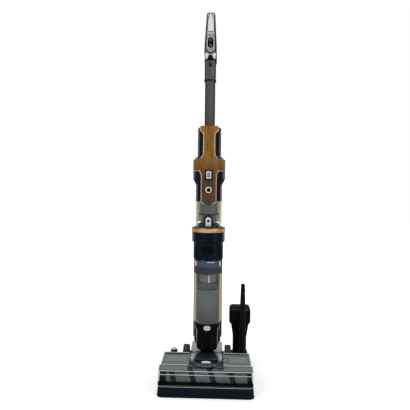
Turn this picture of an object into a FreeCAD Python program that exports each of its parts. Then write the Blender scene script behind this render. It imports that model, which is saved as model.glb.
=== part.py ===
"""Wet and dry floor scrubber standing on its self-cleaning dock, in millimetres.

+Z is up and -Y is the front. The origin is on the floor, under the centre line of the upright body.
Every driving dimension is a cell of the Sizes spreadsheet. A Size below is a number together with the
expression that it comes from, so each sketch, pad and placement is bound to those cells.
"""

import FreeCAD
import Part
import Sketcher
import math
import os
from FreeCAD import Placement, Rotation, Vector

DIMENSIONS = [
    # fits
    ("seat_gap", 0.3, "clearance where a loose piece rests on another"),
    ("slip_gap", 0.4, "clearance round a button or a sliding piece"),
    ("shaft_gap", 0.05, "radial running clearance of a shaft"),
    ("key_travel", 2.0, "how far a push button goes in"),
    ("key_proud", 1.5, "how far a push button stands out"),
    # dock
    ("dock_side", 4, "foot of the dock beyond the roller cover on each side"),
    ("dock_front", 162, "front foot line to body axis"),
    ("dock_back", 92, "rear edge to body axis"),
    ("dock_height", 30, "height of the front rim"),
    ("dock_rear_height", 20, "height of the rim beside the wheels"),
    ("dock_draft", 6, "draft of the dock walls in degrees"),
    ("dock_corner", 16, "plan radius of the dock corners"),
    ("dock_wall", 3, "dock wall thickness at the rim"),
    ("dock_bar", 14, "depth of the rear bar that holds the socket"),
    ("deck_level", 12, "height of the wheel platform"),
    ("trough_floor", 5, "floor of the roller trough"),
    ("trough_back", 86, "rear of the roller trough to body axis"),
    ("fascia_depth", 2, "front fascia thickness"),
    ("foot_radius", 9, "rubber foot radius"),
    ("foot_depth", 1.5, "rubber foot thickness"),
    ("socket_radius", 3.2, "power socket bore"),
    ("socket_depth", 9, "power socket depth"),
    ("socket_offset", 70, "power socket to centre line"),
    ("socket_level", 10, "power socket height"),
    ("pin_radius", 3, "charging pin radius"),
    ("pin_spread", 12, "charging pin to centre line"),
    ("pin_front", 60, "charging pins in front of the body axis"),
    # storage peg and tools
    ("peg_inset", 26, "storage peg in from the side of the dock"),
    ("peg_back", 61.5, "storage peg behind the body axis"),
    ("peg_radius", 11.5, "storage peg radius"),
    ("peg_height", 44, "storage peg height above the platform"),
    ("holder_plate", 7, "tool holder plate thickness"),
    ("holder_wall", 2.5, "tool holder wall thickness"),
    ("holder_width", 56, "tool holder width"),
    ("holder_inset", 1, "tool holder in from the side of the dock"),
    ("holder_front", 62, "tool holder front edge behind the body axis"),
    ("holder_back", 140, "tool holder rear edge behind the body axis"),
    ("spigot_radius", 9.4, "tool holder spigot radius"),
    ("spigot_height", 40, "tool holder spigot height"),
    ("crevice_inset", 20, "crevice tool in from the side of the tool holder"),
    ("crevice_back", 78, "crevice tool behind the body axis"),
    ("crevice_wall", 2.4, "crevice tool wall"),
    ("crevice_socket", 54, "crevice tool socket length"),
    ("crevice_length", 240, "crevice tool overall length"),
    ("crevice_tip", 13, "crevice tool width at its tip"),
    ("crevice_depth", 22, "crevice tool depth at its tip"),
    ("brush_inset", 28, "small brush in from the side of the tool holder"),
    ("brush_back", 112, "small brush behind the body axis"),
    ("brush_width", 70, "small brush head width"),
    ("brush_head", 54, "small brush head height"),
    ("brush_length", 160, "small brush overall length"),
    ("brush_shoulder", 58, "small brush width below the head"),
    ("brush_neck", 44, "small brush neck width"),
    ("brush_depth", 36, "small brush depth"),
    ("brush_roll", 14, "small brush roller radius"),
    ("brush_wall", 4, "small brush end wall"),
    # wheels and axle
    ("wheel_radius", 38.7, "rear wheel radius"),
    ("wheel_width", 19, "rear wheel width"),
    ("wheel_centre", 64, "rear wheel centre to centre line"),
    ("tyre_depth", 5, "tyre thickness"),
    ("axle_radius", 6, "rear axle radius"),
    ("axle_cap", 9, "axle end cap radius"),
    ("axle_cap_width", 3, "axle end cap thickness"),
    # floor head
    ("head_width", 262, "width over the roller cover"),
    ("chassis_clear", 3.7, "ground clearance of the chassis"),
    ("chassis_height", 54, "chassis height"),
    ("chassis_back", 50, "chassis rear face in front of the axle"),
    ("chassis_wall", 3.5, "chassis wall thickness"),
    ("end_plate", 8.5, "thickness of the plate beside the roller"),
    ("drive_box", 15, "width of the belt compartment side"),
    ("roller_front", 121, "roller axis in front of the body axis"),
    ("roller_radius", 28, "roller radius over the pile"),
    ("pile_depth", 6, "roller pile and backing thickness"),
    ("roller_stub", 5, "roller stub shaft radius"),
    ("chamber_gap", 3, "gap between pile and chamber wall"),
    ("cover_gap", 6.5, "gap between pile and transparent cover"),
    ("cover_wall", 3, "transparent cover thickness"),
    ("bumper_height", 12, "height of the black bumper strip"),
    ("bumper_depth", 1.2, "thickness of the black bumper strip"),
    ("cover_back", 128, "rear edge of the cover in front of the body axis"),
    ("bridge_half", 49, "half width of the cover bridge"),
    ("bridge_front", 141, "front of the cover bridge"),
    ("bridge_back", 101, "rear of the cover bridge"),
    ("bridge_rise", 10.5, "top of the cover bridge above the chassis"),
    ("latch_width", 26, "cover latch width"),
    ("latch_depth", 8, "cover latch depth"),
    ("latch_front", 113, "cover latch in front of the body axis"),
    ("wing_front_rise", 7, "top of the wings above the chassis in front"),
    ("wing_back_rise", 10.5, "top of the wings above the chassis at the back"),
    ("wing_rim", 3.5, "rim along the rear of the wings"),
    ("wing_rim_depth", 7, "depth of that rim"),
    ("wing_border", 7, "border round the recess of a wing"),
    ("wing_recess", 1, "depth of the recess of a wing"),
    ("strip_rise", 3.5, "deck strip under the bridge above the chassis"),
    ("well_gap", 2.2, "gap between the neck and the shroud"),
    ("lug_inner", 48.5, "inner face of the axle lugs to centre line"),
    ("lug_wall", 5, "axle lug thickness"),
    ("lug_radius", 20, "axle lug radius"),
    ("motor_radius", 14.5, "brush motor radius"),
    ("motor_length", 54, "brush motor length"),
    ("motor_front", 71, "brush motor axis in front of the body axis"),
    ("motor_drop", 26, "brush motor axis below the chassis top"),
    ("motor_shaft", 2.5, "brush motor shaft radius"),
    ("small_pulley", 8, "motor pulley radius"),
    ("large_pulley", 16, "roller pulley radius"),
    ("belt_width", 5, "drive belt width"),
    ("belt_thick", 1.5, "drive belt thickness"),
    ("blade_thick", 2, "wiper blade thickness"),
    ("blade_back", 91, "wiper blade in front of the body axis"),
    # neck
    ("barrel_radius", 22, "neck barrel radius round the axle"),
    ("drum_height", 23.7, "neck drum top above the axle"),
    ("drum_depth", 18.7, "neck drum height"),
    ("swivel_radius", 14, "swivel spigot radius"),
    ("swivel_length", 14, "swivel spigot length"),
    ("arm_wall", 1.6, "wall of the neck arms at their tips"),
    ("arm_bulge", 47.5, "largest radius of the neck arms"),
    ("arm_height", 36, "neck arm tips above the drum"),
    ("arm_tip_offset", 37, "neck arm tips to centre line"),
    ("arm_notch", 14.7, "bottom of the front notch below the drum top"),
    # upright body
    ("body_radius", 40.6, "lower body radius"),
    ("housing_height", 91, "lower housing height"),
    ("panel_depth", 1.6, "front panel thickness"),
    ("panel_half", 31.5, "front panel half width"),
    ("panel_shoulder", 17, "height of the widened top of the front panel"),
    ("tank_key_width", 19.7, "tank release key width"),
    ("tank_key_height", 13.5, "tank release key height"),
    ("tank_key_drop", 10.5, "tank release key below the housing top"),
    ("spine_half", 44.5, "rear spine half width"),
    ("spine_back", 52, "rear spine depth behind the body axis"),
    ("spine_front", 8, "rear spine edge behind the body axis"),
    ("spine_corner", 22, "rear spine corner radius"),
    ("spine_clear", 3.3, "gap between the arm tips and the spine"),
    ("spine_overlap", 50, "rear spine above the tank top"),
    ("tank_radius", 43.7, "dirty water tank radius"),
    ("tank_wall", 2.2, "dirty water tank wall"),
    ("tank_floor", 3, "dirty water tank floor"),
    ("tank_height", 170.4, "dirty water tank shell height"),
    ("lid_height", 24, "tank lid height"),
    ("lid_plug", 6, "length of the lid inside the shell"),
    ("filter_height", 14, "tank filter height"),
    ("pipe_radius", 25.6, "stand pipe radius"),
    ("pipe_wall", 2, "stand pipe wall"),
    ("skirt_radius", 36, "splash skirt radius"),
    ("skirt_height", 15, "splash skirt height"),
    ("inner_radius", 33.2, "settling cup radius"),
    ("inner_height", 92, "settling cup height"),
    ("clean_half", 34, "clean water tank half width"),
    ("clean_depth", 23, "clean water tank depth"),
    ("clean_rise", 10, "clean water tank above the housing top"),
    ("clean_height", 172, "clean water tank height"),
    ("clean_wall", 2, "clean water tank wall"),
    ("cap_radius", 8.5, "clean water cap radius"),
    ("cap_height", 7, "clean water cap height"),
    ("collar_radius", 45.9, "motor collar lower radius"),
    ("collar_upper", 50.5, "motor collar upper radius"),
    ("collar_wall", 3.2, "motor collar wall"),
    ("collar_plate", 4, "motor collar floor"),
    ("collar_low_height", 50, "motor collar lower section height"),
    ("collar_step", 5, "height of the step in the collar"),
    ("collar_top_height", 26, "motor collar upper section height"),
    ("inlet_radius", 20, "air inlet of the motor collar"),
    ("ring_radius", 51.2, "copper ring radius"),
    ("ring_inner", 42.6, "copper ring inner radius"),
    ("ring_height", 17, "copper ring height"),
    ("fan_radius", 30, "suction motor can radius"),
    ("fan_height", 34, "suction motor can height"),
    ("fan_shaft", 3, "suction motor shaft radius"),
    ("impeller_radius", 27, "suction impeller radius"),
    ("impeller_height", 13, "suction impeller height"),
    ("blade_count", 9, "blades of the suction impeller"),
    ("body_key_width", 28.7, "black body key width"),
    ("body_key_height", 17.5, "black body key height"),
    ("body_key_level", 29, "black body key centre above the collar's lower edge"),
    ("notch_width", 15, "finger notch width"),
    ("notch_height", 5, "finger notch height"),
    ("notch_drop", 14.5, "finger notch below the body key"),
    # hand vacuum
    ("cup_radius", 39.8, "dust cup radius"),
    ("cup_wall", 2, "dust cup wall"),
    ("cup_height", 86, "dust cup height"),
    ("base_height", 11, "dust cup base height"),
    ("base_rim", 2, "rim of the dust cup base round the cup"),
    ("base_lip", 7, "height of that rim"),
    ("nose_radius", 18, "vacuum nose radius"),
    ("nose_length", 22, "vacuum nose length"),
    ("nose_wall", 2.5, "vacuum nose wall"),
    ("cyclone_radius", 24.3, "cyclone tube radius"),
    ("cyclone_wall", 2, "cyclone tube wall"),
    ("cyclone_flange", 33, "cyclone flange radius"),
    ("cyclone_flare", 36.5, "cyclone flare radius"),
    ("latch_plate", 3.3, "thickness of the arched latch plate"),
    ("arch_width", 21, "arched latch width"),
    ("arch_height", 33, "arched latch height"),
    ("arch_border", 4, "border round the arched latch"),
    ("arch_travel", 1.2, "how far the arched latch goes in"),
    ("vac_radius", 40, "vacuum collar radius"),
    ("vac_wall", 3, "vacuum wall"),
    ("vac_collar_height", 49, "vacuum collar height"),
    ("vac_flare_height", 18, "height of the flare above it"),
    ("vac_barrel_radius", 49, "vacuum motor barrel radius"),
    ("vac_barrel_height", 58, "vacuum motor barrel height"),
    ("vac_shoulder", 12, "height of the shoulder above the motor barrel"),
    ("vac_motor_radius", 30, "vacuum motor radius"),
    ("vac_motor_height", 40, "vacuum motor height"),
    ("battery_radius", 35.8, "battery case radius"),
    ("battery_height", 87, "battery case height"),
    ("band_height", 34, "gold band height"),
    ("band_depth", 1.2, "gold band thickness"),
    ("band_proud", 0.4, "gold band proud of the barrel"),
    ("strip_half", 16.5, "gold strip half width"),
    ("strip_low_half", 22, "gold strip half width below the band"),
    ("strip_flare_half", 27, "gold strip half width at its top"),
    ("strip_proud", 3, "gold strip proud of the motor barrel"),
    ("strip_root", 14, "back of the gold strip moulding in front of the axis"),
    ("strip_drop", 9, "gold strip below the vacuum collar"),
    ("power_width", 21, "power slide width"),
    ("power_height", 27, "power slide height"),
    ("power_level", 77, "power slide centre above the cup"),
    ("round_radius", 9.4, "round key radius"),
    ("round_level", 32.5, "round key centre above the cup"),
    # tube and handle
    ("tube_half", 15.7, "tube half width"),
    ("tube_half_depth", 13, "tube half depth"),
    ("tube_corner", 7, "tube corner radius"),
    ("tube_wall", 1.6, "tube wall"),
    ("tube_run", 144, "bare length of the tube"),
    ("tube_socket", 30, "length of the tube held in the battery case"),
    ("sleeve_height", 64, "handle sleeve height"),
    ("sleeve_wall", 1.65, "handle sleeve wall"),
    ("sleeve_cap", 4, "closed top of the handle sleeve"),
    ("sleeve_grip", 40, "length of tube inside the sleeve"),
    ("handle_height", 155, "handle above its sleeve"),
    ("handle_half", 19.3, "handle half width"),
    ("handle_top_half", 13, "handle half width at its top"),
    ("handle_front", 12, "handle front face in front of the body axis"),
    ("handle_back", 92, "handle rear behind the body axis"),
    ("handle_strut", 22, "thickness of the front of the handle"),
    ("handle_lean", 18, "how far the top of the handle leans back"),
    ("lean_height", 66, "height of the leaning top of the handle"),
    ("handle_toe", 12, "height of the curved foot of the handle"),
    ("handle_heel", 42, "height of the lowest point of the rear of the handle"),
    ("handle_run", 70, "length of the slanted underside of the handle"),
    ("handle_crown", 40, "length of the top of the handle"),
    ("grip_crown", 21, "thickness of the top of the handle"),
    ("grip_rise", 30, "thickness of the lower bar of the handle"),
    ("grip_run", 20, "length of the top of the grip opening"),
    ("handle_round", 4.5, "round along the sides of the handle"),
    ("window_half", 10, "handle window half width"),
    ("window_depth", 1.6, "handle window depth in the handle"),
    ("window_proud", 0.6, "handle window proud of the handle"),
    ("pad_half", 9.3, "control pad half width"),
    ("pad_height", 33, "control pad height"),
    ("pad_level", 52, "control pad centre above the sleeve"),
    ("pad_depth", 2.4, "control pad thickness"),
    ("pad_proud", 0.8, "control pad proud of the handle"),
    ("dot_radius", 5.2, "handle key radius"),
    ("dot_spread", 8, "handle keys to the pad centre"),
    ("dot_travel", 1, "how far a handle key goes in"),
]

doc = FreeCAD.newDocument("floor_scrubber")
sheet = doc.addObject("Spreadsheet::Sheet", "Sizes")
NODES = []


class Size:
    """A length that knows the spreadsheet expression it comes from."""

    def __init__(self, text, value):
        self.text = text
        self.value = float(value)

    @staticmethod
    def of(other):
        return other if isinstance(other, Size) else Size(repr(float(other)), other)

    def __add__(self, other):
        other = Size.of(other)
        return Size(f"({self.text} + {other.text})", self.value + other.value)

    def __sub__(self, other):
        other = Size.of(other)
        return Size(f"({self.text} - {other.text})", self.value - other.value)

    def __mul__(self, other):
        other = Size.of(other)
        return Size(f"({self.text} * {other.text})", self.value * other.value)

    def __truediv__(self, other):
        other = Size.of(other)
        return Size(f"({self.text} / {other.text})", self.value / other.value)

    def __radd__(self, other):
        return Size.of(other) + self

    def __rsub__(self, other):
        return Size.of(other) - self

    def __rmul__(self, other):
        return Size.of(other) * self

    def __neg__(self):
        return Size(f"(0 - {self.text})", -self.value)


def number(size):
    return size.value if isinstance(size, Size) else float(size)


class Dimensions:
    """The driving dimensions as Size attributes."""


def fill_sheet():
    dims = Dimensions()
    for row, (alias, value, meaning) in enumerate(DIMENSIONS, start=1):
        sheet.set(f"A{row}", meaning)
        sheet.set(f"B{row}", str(value))
        sheet.setAlias(f"B{row}", alias)
        setattr(dims, alias, Size(f"Sizes.{alias}", value))
    doc.recompute()
    return dims


d = fill_sheet()

# ---------------------------------------------------------------- drawing tools


class Circle:
    """A round outline: centre across, centre up and radius."""

    def __init__(self, across, up, radius):
        self.across, self.up, self.radius = Size.of(across), Size.of(up), Size.of(radius)


class Slot:
    """A stadium outline. The longer of width and height runs between the two round ends."""

    def __init__(self, across, up, width, height):
        self.across, self.up = Size.of(across), Size.of(up)
        self.width, self.height = Size.of(width), Size.of(height)


def new_body(name):
    return doc.addObject("PartDesign::Body", name)


def bind(sketch, constraint, size):
    index = sketch.addConstraint(constraint)
    sketch.setExpression(f"Constraints[{index}]", size.text)


def pin_point(sketch, geometry, point, across, up):
    """Fixes a point of the sketch at two Sizes."""
    bind(sketch, Sketcher.Constraint("DistanceX", -1, 1, geometry, point, across.value), across)
    bind(sketch, Sketcher.Constraint("DistanceY", -1, 1, geometry, point, up.value), up)


def draw_polygon(sketch, corners):
    count = len(corners)
    first = sketch.GeometryCount
    places = [(Size.of(c[0]), Size.of(c[1])) for c in corners]
    for n in range(count):
        start, end = places[n], places[(n + 1) % count]
        line = Part.LineSegment(
            Vector(start[0].value, start[1].value, 0), Vector(end[0].value, end[1].value, 0)
        )
        sketch.addGeometry(line)
    for n in range(count):
        following = first + (n + 1) % count
        sketch.addConstraint(Sketcher.Constraint("Coincident", first + n, 2, following, 1))
    for n, (across, up) in enumerate(places):
        pin_point(sketch, first + n, 1, across, up)
    for n, corner in enumerate(corners):
        if len(corner) == 3:
            radius = Size.of(corner[2])
            sketch.fillet(first + n, 1, radius.value, True, True)
            arc = sketch.GeometryCount - 2
            bind(sketch, Sketcher.Constraint("Radius", arc, radius.value), radius)


def draw_circle(sketch, circle):
    centre = Vector(circle.across.value, circle.up.value, 0)
    index = sketch.addGeometry(Part.Circle(centre, Vector(0, 0, 1), circle.radius.value))
    pin_point(sketch, index, 3, circle.across, circle.up)
    bind(sketch, Sketcher.Constraint("Radius", index, circle.radius.value), circle.radius)


def draw_slot(sketch, slot):
    upright = slot.height.value > slot.width.value
    radius = (slot.width if upright else slot.height) / 2
    reach = (slot.height / 2 if upright else slot.width / 2) - radius
    turn = math.pi / 2 if upright else 0
    ends = []
    for side in (1, -1):
        across = slot.across if upright else slot.across + side * reach
        up = slot.up + side * reach if upright else slot.up
        ends.append((across, up))
    arcs = []
    for (across, up), start in zip(ends, (-math.pi / 2, math.pi / 2)):
        ring = Part.Circle(Vector(across.value, up.value, 0), Vector(0, 0, 1), radius.value)
        arc = Part.ArcOfCircle(ring, start + turn, start + turn + math.pi)
        arcs.append((sketch.addGeometry(arc), arc))
    (first, one), (second, two) = arcs
    side_a = sketch.addGeometry(Part.LineSegment(one.EndPoint, two.StartPoint))
    side_b = sketch.addGeometry(Part.LineSegment(two.EndPoint, one.StartPoint))
    for left, end_left, right, end_right in (
        (first, 2, side_a, 1), (side_a, 2, second, 1), (second, 2, side_b, 1), (side_b, 2, first, 1)
    ):
        sketch.addConstraint(Sketcher.Constraint("Tangent", left, end_left, right, end_right))
    for index, (across, up) in zip((first, second), ends):
        pin_point(sketch, index, 3, across, up)
    bind(sketch, Sketcher.Constraint("Radius", first, radius.value), radius)


def new_sketch(body, plane, level, shapes):
    """A sketch at a level of the plane: z of XY, y of XZ or x of YZ."""
    sketch = body.newObject("Sketcher::SketchObject", f"{body.Name}_sketch")
    role = f"{plane}_Plane"
    support = next(f for f in body.Origin.OriginFeatures if f.Role == role)
    sketch.AttachmentSupport = (support, [""])
    sketch.MapMode = "FlatFace"
    offset = -Size.of(level) if plane == "XZ" else Size.of(level)
    sketch.AttachmentOffset = Placement(Vector(0, 0, offset.value), Rotation())
    sketch.setExpression("AttachmentOffset.Base.z", offset.text)
    for shape in shapes:
        if isinstance(shape, Circle):
            draw_circle(sketch, shape)
        elif isinstance(shape, Slot):
            draw_slot(sketch, shape)
        else:
            draw_polygon(sketch, shape)
    sketch.Visibility = False
    return sketch


def round_edges(body, radius, wanted, feature="Fillet"):
    """Fillets or chamfers the edges of the body for which wanted(edge) holds."""
    doc.recompute()
    base = body.Tip
    names = [f"Edge{n}" for n, edge in enumerate(base.Shape.Edges, start=1) if wanted(edge)]
    if not names:
        raise ValueError(f"{body.Name}: no edge to round")
    made = body.newObject(f"PartDesign::{feature}", f"{body.Name}_{feature}")
    made.Base = (base, names)
    key = "Radius" if feature == "Fillet" else "Size"
    size = Size.of(radius)
    setattr(made, key, size.value)
    made.setExpression(key, size.text)
    doc.recompute()
    return made


def along(edge, direction, tolerance=1e-3):
    """True if a straight edge runs along the direction."""
    if edge.Curve.TypeId != "Part::GeomLine":
        return False
    return abs(abs(edge.Curve.Direction.normalize().dot(direction)) - 1) < tolerance


def extrude(body, plane, start, length, *shapes, cut=False):
    """Adds, or cuts, outlines run from start over length along +Z, +Y or +X."""
    sketch = new_sketch(body, plane, start, shapes)
    kind = "Pocket" if cut else "Pad"
    made = body.newObject(f"PartDesign::{kind}", f"{body.Name}_{kind}")
    made.Profile = sketch
    size = Size.of(length)
    made.Length = size.value
    made.setExpression("Length", size.text)
    made.Reversed = (plane == "XZ") != cut
    doc.recompute()
    return made


def spin(body, outline, axis="Z", cut=False):
    """Adds, or cuts, an outline turned about Z (across is radius) or X (up is radius)."""
    sketch = new_sketch(body, "XZ", 0, [outline])
    kind = "Groove" if cut else "Revolution"
    made = body.newObject(f"PartDesign::{kind}", f"{body.Name}_{kind}")
    made.Profile = sketch
    made.ReferenceAxis = (sketch, ["V_Axis" if axis == "Z" else "H_Axis"])
    made.Angle = 360
    doc.recompute()
    return made


def turned(name, outline, axis="Z"):
    body = new_body(name)
    spin(body, outline, axis)
    return body


def prism(name, plane, start, length, *shapes):
    body = new_body(name)
    extrude(body, plane, start, length, *shapes)
    return body


def rod(name, plane, start, length, across, up, radius):
    return prism(name, plane, start, length, Circle(across, up, radius))


def box_outline(low_across, low_up, high_across, high_up, rounding=None):
    corners = [(low_across, low_up), (high_across, low_up), (high_across, high_up), (low_across, high_up)]
    return corners if rounding is None else [(a, b, rounding) for a, b in corners]


def boolean(kind, name, base, tools):
    if kind == "Cut":
        tool = tools[0] if len(tools) == 1 else boolean("Fuse", f"{name}_tools", tools[0], tools[1:])
        made = doc.addObject("Part::Cut", name)
        made.Base = base
        made.Tool = tool
    else:
        made = doc.addObject("Part::MultiFuse" if kind == "Fuse" else "Part::MultiCommon", name)
        made.Shapes = [base, *tools]
    made.Refine = True
    doc.recompute()
    return made


def cut(name, base, *tools):
    return boolean("Cut", name, base, tools)


def fuse(name, base, *tools):
    return boolean("Fuse", name, base, tools)


def common(name, base, *tools):
    return boolean("Common", name, base, tools)


def place(thing, x=0, y=0, z=0):
    """Moves an object to a place given in Sizes."""
    sizes = [Size.of(v) for v in (x, y, z)]
    thing.Placement = Placement(Vector(*[s.value for s in sizes]), thing.Placement.Rotation)
    for letter, size in zip("xyz", sizes):
        thing.setExpression(f"Placement.Base.{letter}", size.text)
    doc.recompute()
    return thing


def node(thing, label):
    """Names a finished sub-part."""
    thing.Label = label
    NODES.append(thing)
    return thing


def tube_wall(name, inner, outer, low, high):
    """A plain pipe about Z."""
    return turned(name, [(inner, low), (outer, low), (outer, high), (inner, high)])


def wrapped(name, inner, outer, low, high, *shapes):
    """The front half of a pipe about Z, trimmed to outlines drawn from the front."""
    pipe = tube_wall(f"{name}_pipe", inner, outer, low, high)
    stamp = prism(f"{name}_stamp", "XZ", -(outer + 5), outer + 5, *shapes)
    return common(name, pipe, stamp)


# ---------------------------------------------------------------- levels and shared places

ground = d.deck_level + d.seat_gap
axle_level = ground + d.wheel_radius
roller_level = ground + d.roller_radius
chassis_low = ground + d.chassis_clear
chassis_top = chassis_low + d.chassis_height
chassis_half = d.head_width / 2 - d.cover_wall - 0.5
chamber_radius = d.roller_radius + d.chamber_gap
cover_inner = d.roller_radius + d.cover_gap
cover_outer = cover_inner + d.cover_wall
cover_low = d.dock_height + 1
motor_level = chassis_top - d.motor_drop
roller_left = d.drive_box - chassis_half
roller_right = chassis_half - d.end_plate
belt_middle = (d.chassis_wall + 3.5) - chassis_half

drum_top = axle_level + d.drum_height
housing_low = drum_top + d.seat_gap
housing_top = housing_low + d.housing_height
panel_radius = d.body_radius + d.panel_depth
tank_low = housing_top + d.seat_gap
shell_top = tank_low + d.tank_height
tank_top = shell_top + d.lid_height
collar_low = tank_top + d.seat_gap
step_level = collar_low + d.collar_low_height
socket_level = step_level + d.collar_step + d.collar_top_height
ring_top = socket_level + d.ring_height
cup_low = socket_level + d.seat_gap + d.base_height
cup_top = cup_low + d.cup_height
flare_level = cup_top + d.vac_collar_height
barrel_level = flare_level + d.vac_flare_height
strip_face = d.vac_barrel_radius + d.strip_proud
shoulder_level = barrel_level + d.vac_barrel_height
battery_level = shoulder_level + d.vac_shoulder
battery_top = battery_level + d.battery_height
sleeve_level = battery_top + d.tube_run
handle_level = sleeve_level + d.sleeve_height
handle_top = handle_level + d.handle_height


# ---------------------------------------------------------------- dock

dock_half = d.head_width / 2 + d.dock_side
draft_slope = Size("tan(Sizes.dock_draft * 1 deg)", math.tan(math.radians(d.dock_draft.value)))
rim_inset = d.dock_height * draft_slope
cavity_half = dock_half - rim_inset - d.dock_wall
cavity_front = d.dock_front - rim_inset - d.dock_wall


def dock_block(name):
    """The outer form of the dock, its walls drafted inwards."""
    body = new_body(name)
    outline = box_outline(-dock_half, -d.dock_front, dock_half, d.dock_back)
    pad = extrude(body, "XY", 0, d.dock_height, outline)
    pad.TaperAngle = -d.dock_draft.value
    pad.setExpression("TaperAngle", "0 - Sizes.dock_draft")
    doc.recompute()
    round_edges(body, d.dock_corner, lambda e: e.BoundBox.ZLength > d.dock_height.value - 1)
    round_edges(body, 1.2, lambda e: e.BoundBox.ZMin > d.dock_height.value - 0.01)
    return body


def fascia_wedge(name, margin):
    """A slab parallel to the drafted front of the dock."""
    low, high = d.foot_depth + 1 - margin, d.dock_height - 2.5 + margin
    depth = d.fascia_depth + margin
    outline = [
        (-d.dock_front - 5, low),
        (depth - d.dock_front + low * draft_slope, low),
        (depth - d.dock_front + high * draft_slope, high),
        (-d.dock_front - 5, high),
    ]
    half = dock_half - d.dock_corner - 1 + margin
    return prism(name, "YZ", -half, half * 2, outline)


def dock_tray():
    block = dock_block("dock_block")
    back = d.dock_back - d.dock_bar
    slope = [
        (-d.chassis_back, d.dock_height + 1),
        (-d.chassis_back + 20, d.dock_rear_height),
        (d.dock_back + 5, d.dock_rear_height),
        (d.dock_back + 5, d.dock_height + 1),
    ]
    extrude(block, "YZ", -dock_half - 5, dock_half * 2 + 10, slope, cut=True)
    platform = box_outline(-cavity_half, -cavity_front, cavity_half, back, d.dock_corner - 4)
    extrude(block, "XY", d.deck_level, d.dock_height, platform, cut=True)
    trough = box_outline(-cavity_half, -cavity_front, cavity_half, -d.trough_back, 8)
    extrude(block, "XY", d.trough_floor, d.dock_height, trough, cut=True)
    recess = box_outline(-d.socket_offset - 9, 4, 9 - d.socket_offset, d.dock_rear_height - 3, 3)
    extrude(block, "XZ", d.dock_back - 4, 10, recess, cut=True)
    socket = Circle(-d.socket_offset, d.socket_level, d.socket_radius)
    mouth = d.dock_back - 4
    extrude(block, "XZ", mouth - d.socket_depth, d.socket_depth, socket, cut=True)
    extrude(block, "XY", 0, d.foot_depth, *foot_circles(), cut=True)
    node(cut("dock_tray_cut", block, fascia_wedge("fascia_recess", Size.of(0))), "dock_tray")


def foot_circles():
    across = dock_half - 24
    return [
        Circle(side * across, up, d.foot_radius)
        for side in (-1, 1)
        for up in (-d.dock_front + 26, d.dock_back - 22)
    ]


def dock_fascia():
    wedge = fascia_wedge("fascia_slab", Size.of(-0.15))
    node(common("dock_fascia_form", dock_block("fascia_block"), wedge), "dock_fascia")


def dock_small_parts():
    node(prism("dock_feet_pads", "XY", 0, d.foot_depth, *foot_circles()), "dock_feet")
    pins = new_body("pin_bodies")
    height = d.chassis_clear
    spots = [Circle(side * d.pin_spread, -d.pin_front, d.pin_radius) for side in (-1, 1)]
    extrude(pins, "XY", d.deck_level, height, *spots)
    top = (d.deck_level + height).value
    round_edges(pins, 1, lambda e: abs(e.BoundBox.ZMin - top) < 0.01 and e.BoundBox.ZLength < 0.01)
    node(pins, "charging_pins")


# ---------------------------------------------------------------- storage peg, holder and tools

holder_top = d.dock_rear_height + d.holder_plate
tool_seat = holder_top + d.seat_gap
holder_outer = dock_half - d.holder_inset
holder_inner = holder_outer - d.holder_width
crevice_side = holder_outer - d.crevice_inset
brush_side = holder_outer - d.brush_inset
crevice_bore = d.spigot_radius + d.slip_gap


def storage_peg():
    radius, top = d.peg_radius, d.peg_height
    outline = [
        (0, 0), (radius + 4, 0), (radius + 4, 3, 1), (radius - 2, 5), (radius - 2, top - 20),
        (radius, top - 17), (radius, top - 7), (radius - 3.5, top - 1.8), (0, top),
    ]
    peg = turned("peg_form", outline)
    place(peg, d.peg_inset - dock_half, d.peg_back, d.deck_level)
    node(peg, "storage_peg")


def tool_holder():
    holder = new_body("holder_form")
    back_edge = d.dock_back + d.seat_gap
    side = [
        (back_edge, 0), (d.holder_back, 0), (d.holder_back, holder_top),
        (d.holder_front, holder_top), (d.holder_front, d.dock_rear_height),
        (back_edge, d.dock_rear_height),
    ]
    extrude(holder, "YZ", holder_inner, d.holder_width, side)
    wall = d.holder_wall
    inside = box_outline(
        holder_inner + wall, back_edge + wall, holder_outer - wall, d.holder_back - wall
    )
    extrude(holder, "XY", 0, d.dock_rear_height, inside, cut=True)
    doc.recompute()
    round_edges(
        holder, 8,
        lambda e: along(e, Vector(0, 0, 1)) and e.BoundBox.YMin > d.holder_back.value - 0.01,
    )
    for x, y in ((crevice_side, d.crevice_back), (brush_side, d.brush_back)):
        extrude(holder, "XY", holder_top, d.spigot_height, Circle(x, y, d.spigot_radius))
        level = (holder_top + d.spigot_height).value
        round_edges(holder, 2, lambda e, z=level: abs(e.BoundBox.ZMin - z) < 0.01)
    node(holder, "tool_holder")


def loft(body, sections, cut=False):
    """A loft through (level, shape) sections of the XY plane."""
    sketches = [new_sketch(body, "XY", level, [shape]) for level, shape in sections]
    kind = "SubtractiveLoft" if cut else "AdditiveLoft"
    made = body.newObject(f"PartDesign::{kind}", f"{body.Name}_{kind}")
    made.Profile = sketches[0]
    made.Sections = sketches[1:]
    made.Ruled = True
    doc.recompute()
    return made


def nearly_round(radius):
    """A slot so short that it passes for a circle, which a loft can carry on to a longer slot."""
    return Slot(0, 0, radius * 2 - 0.2, radius * 2)


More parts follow.
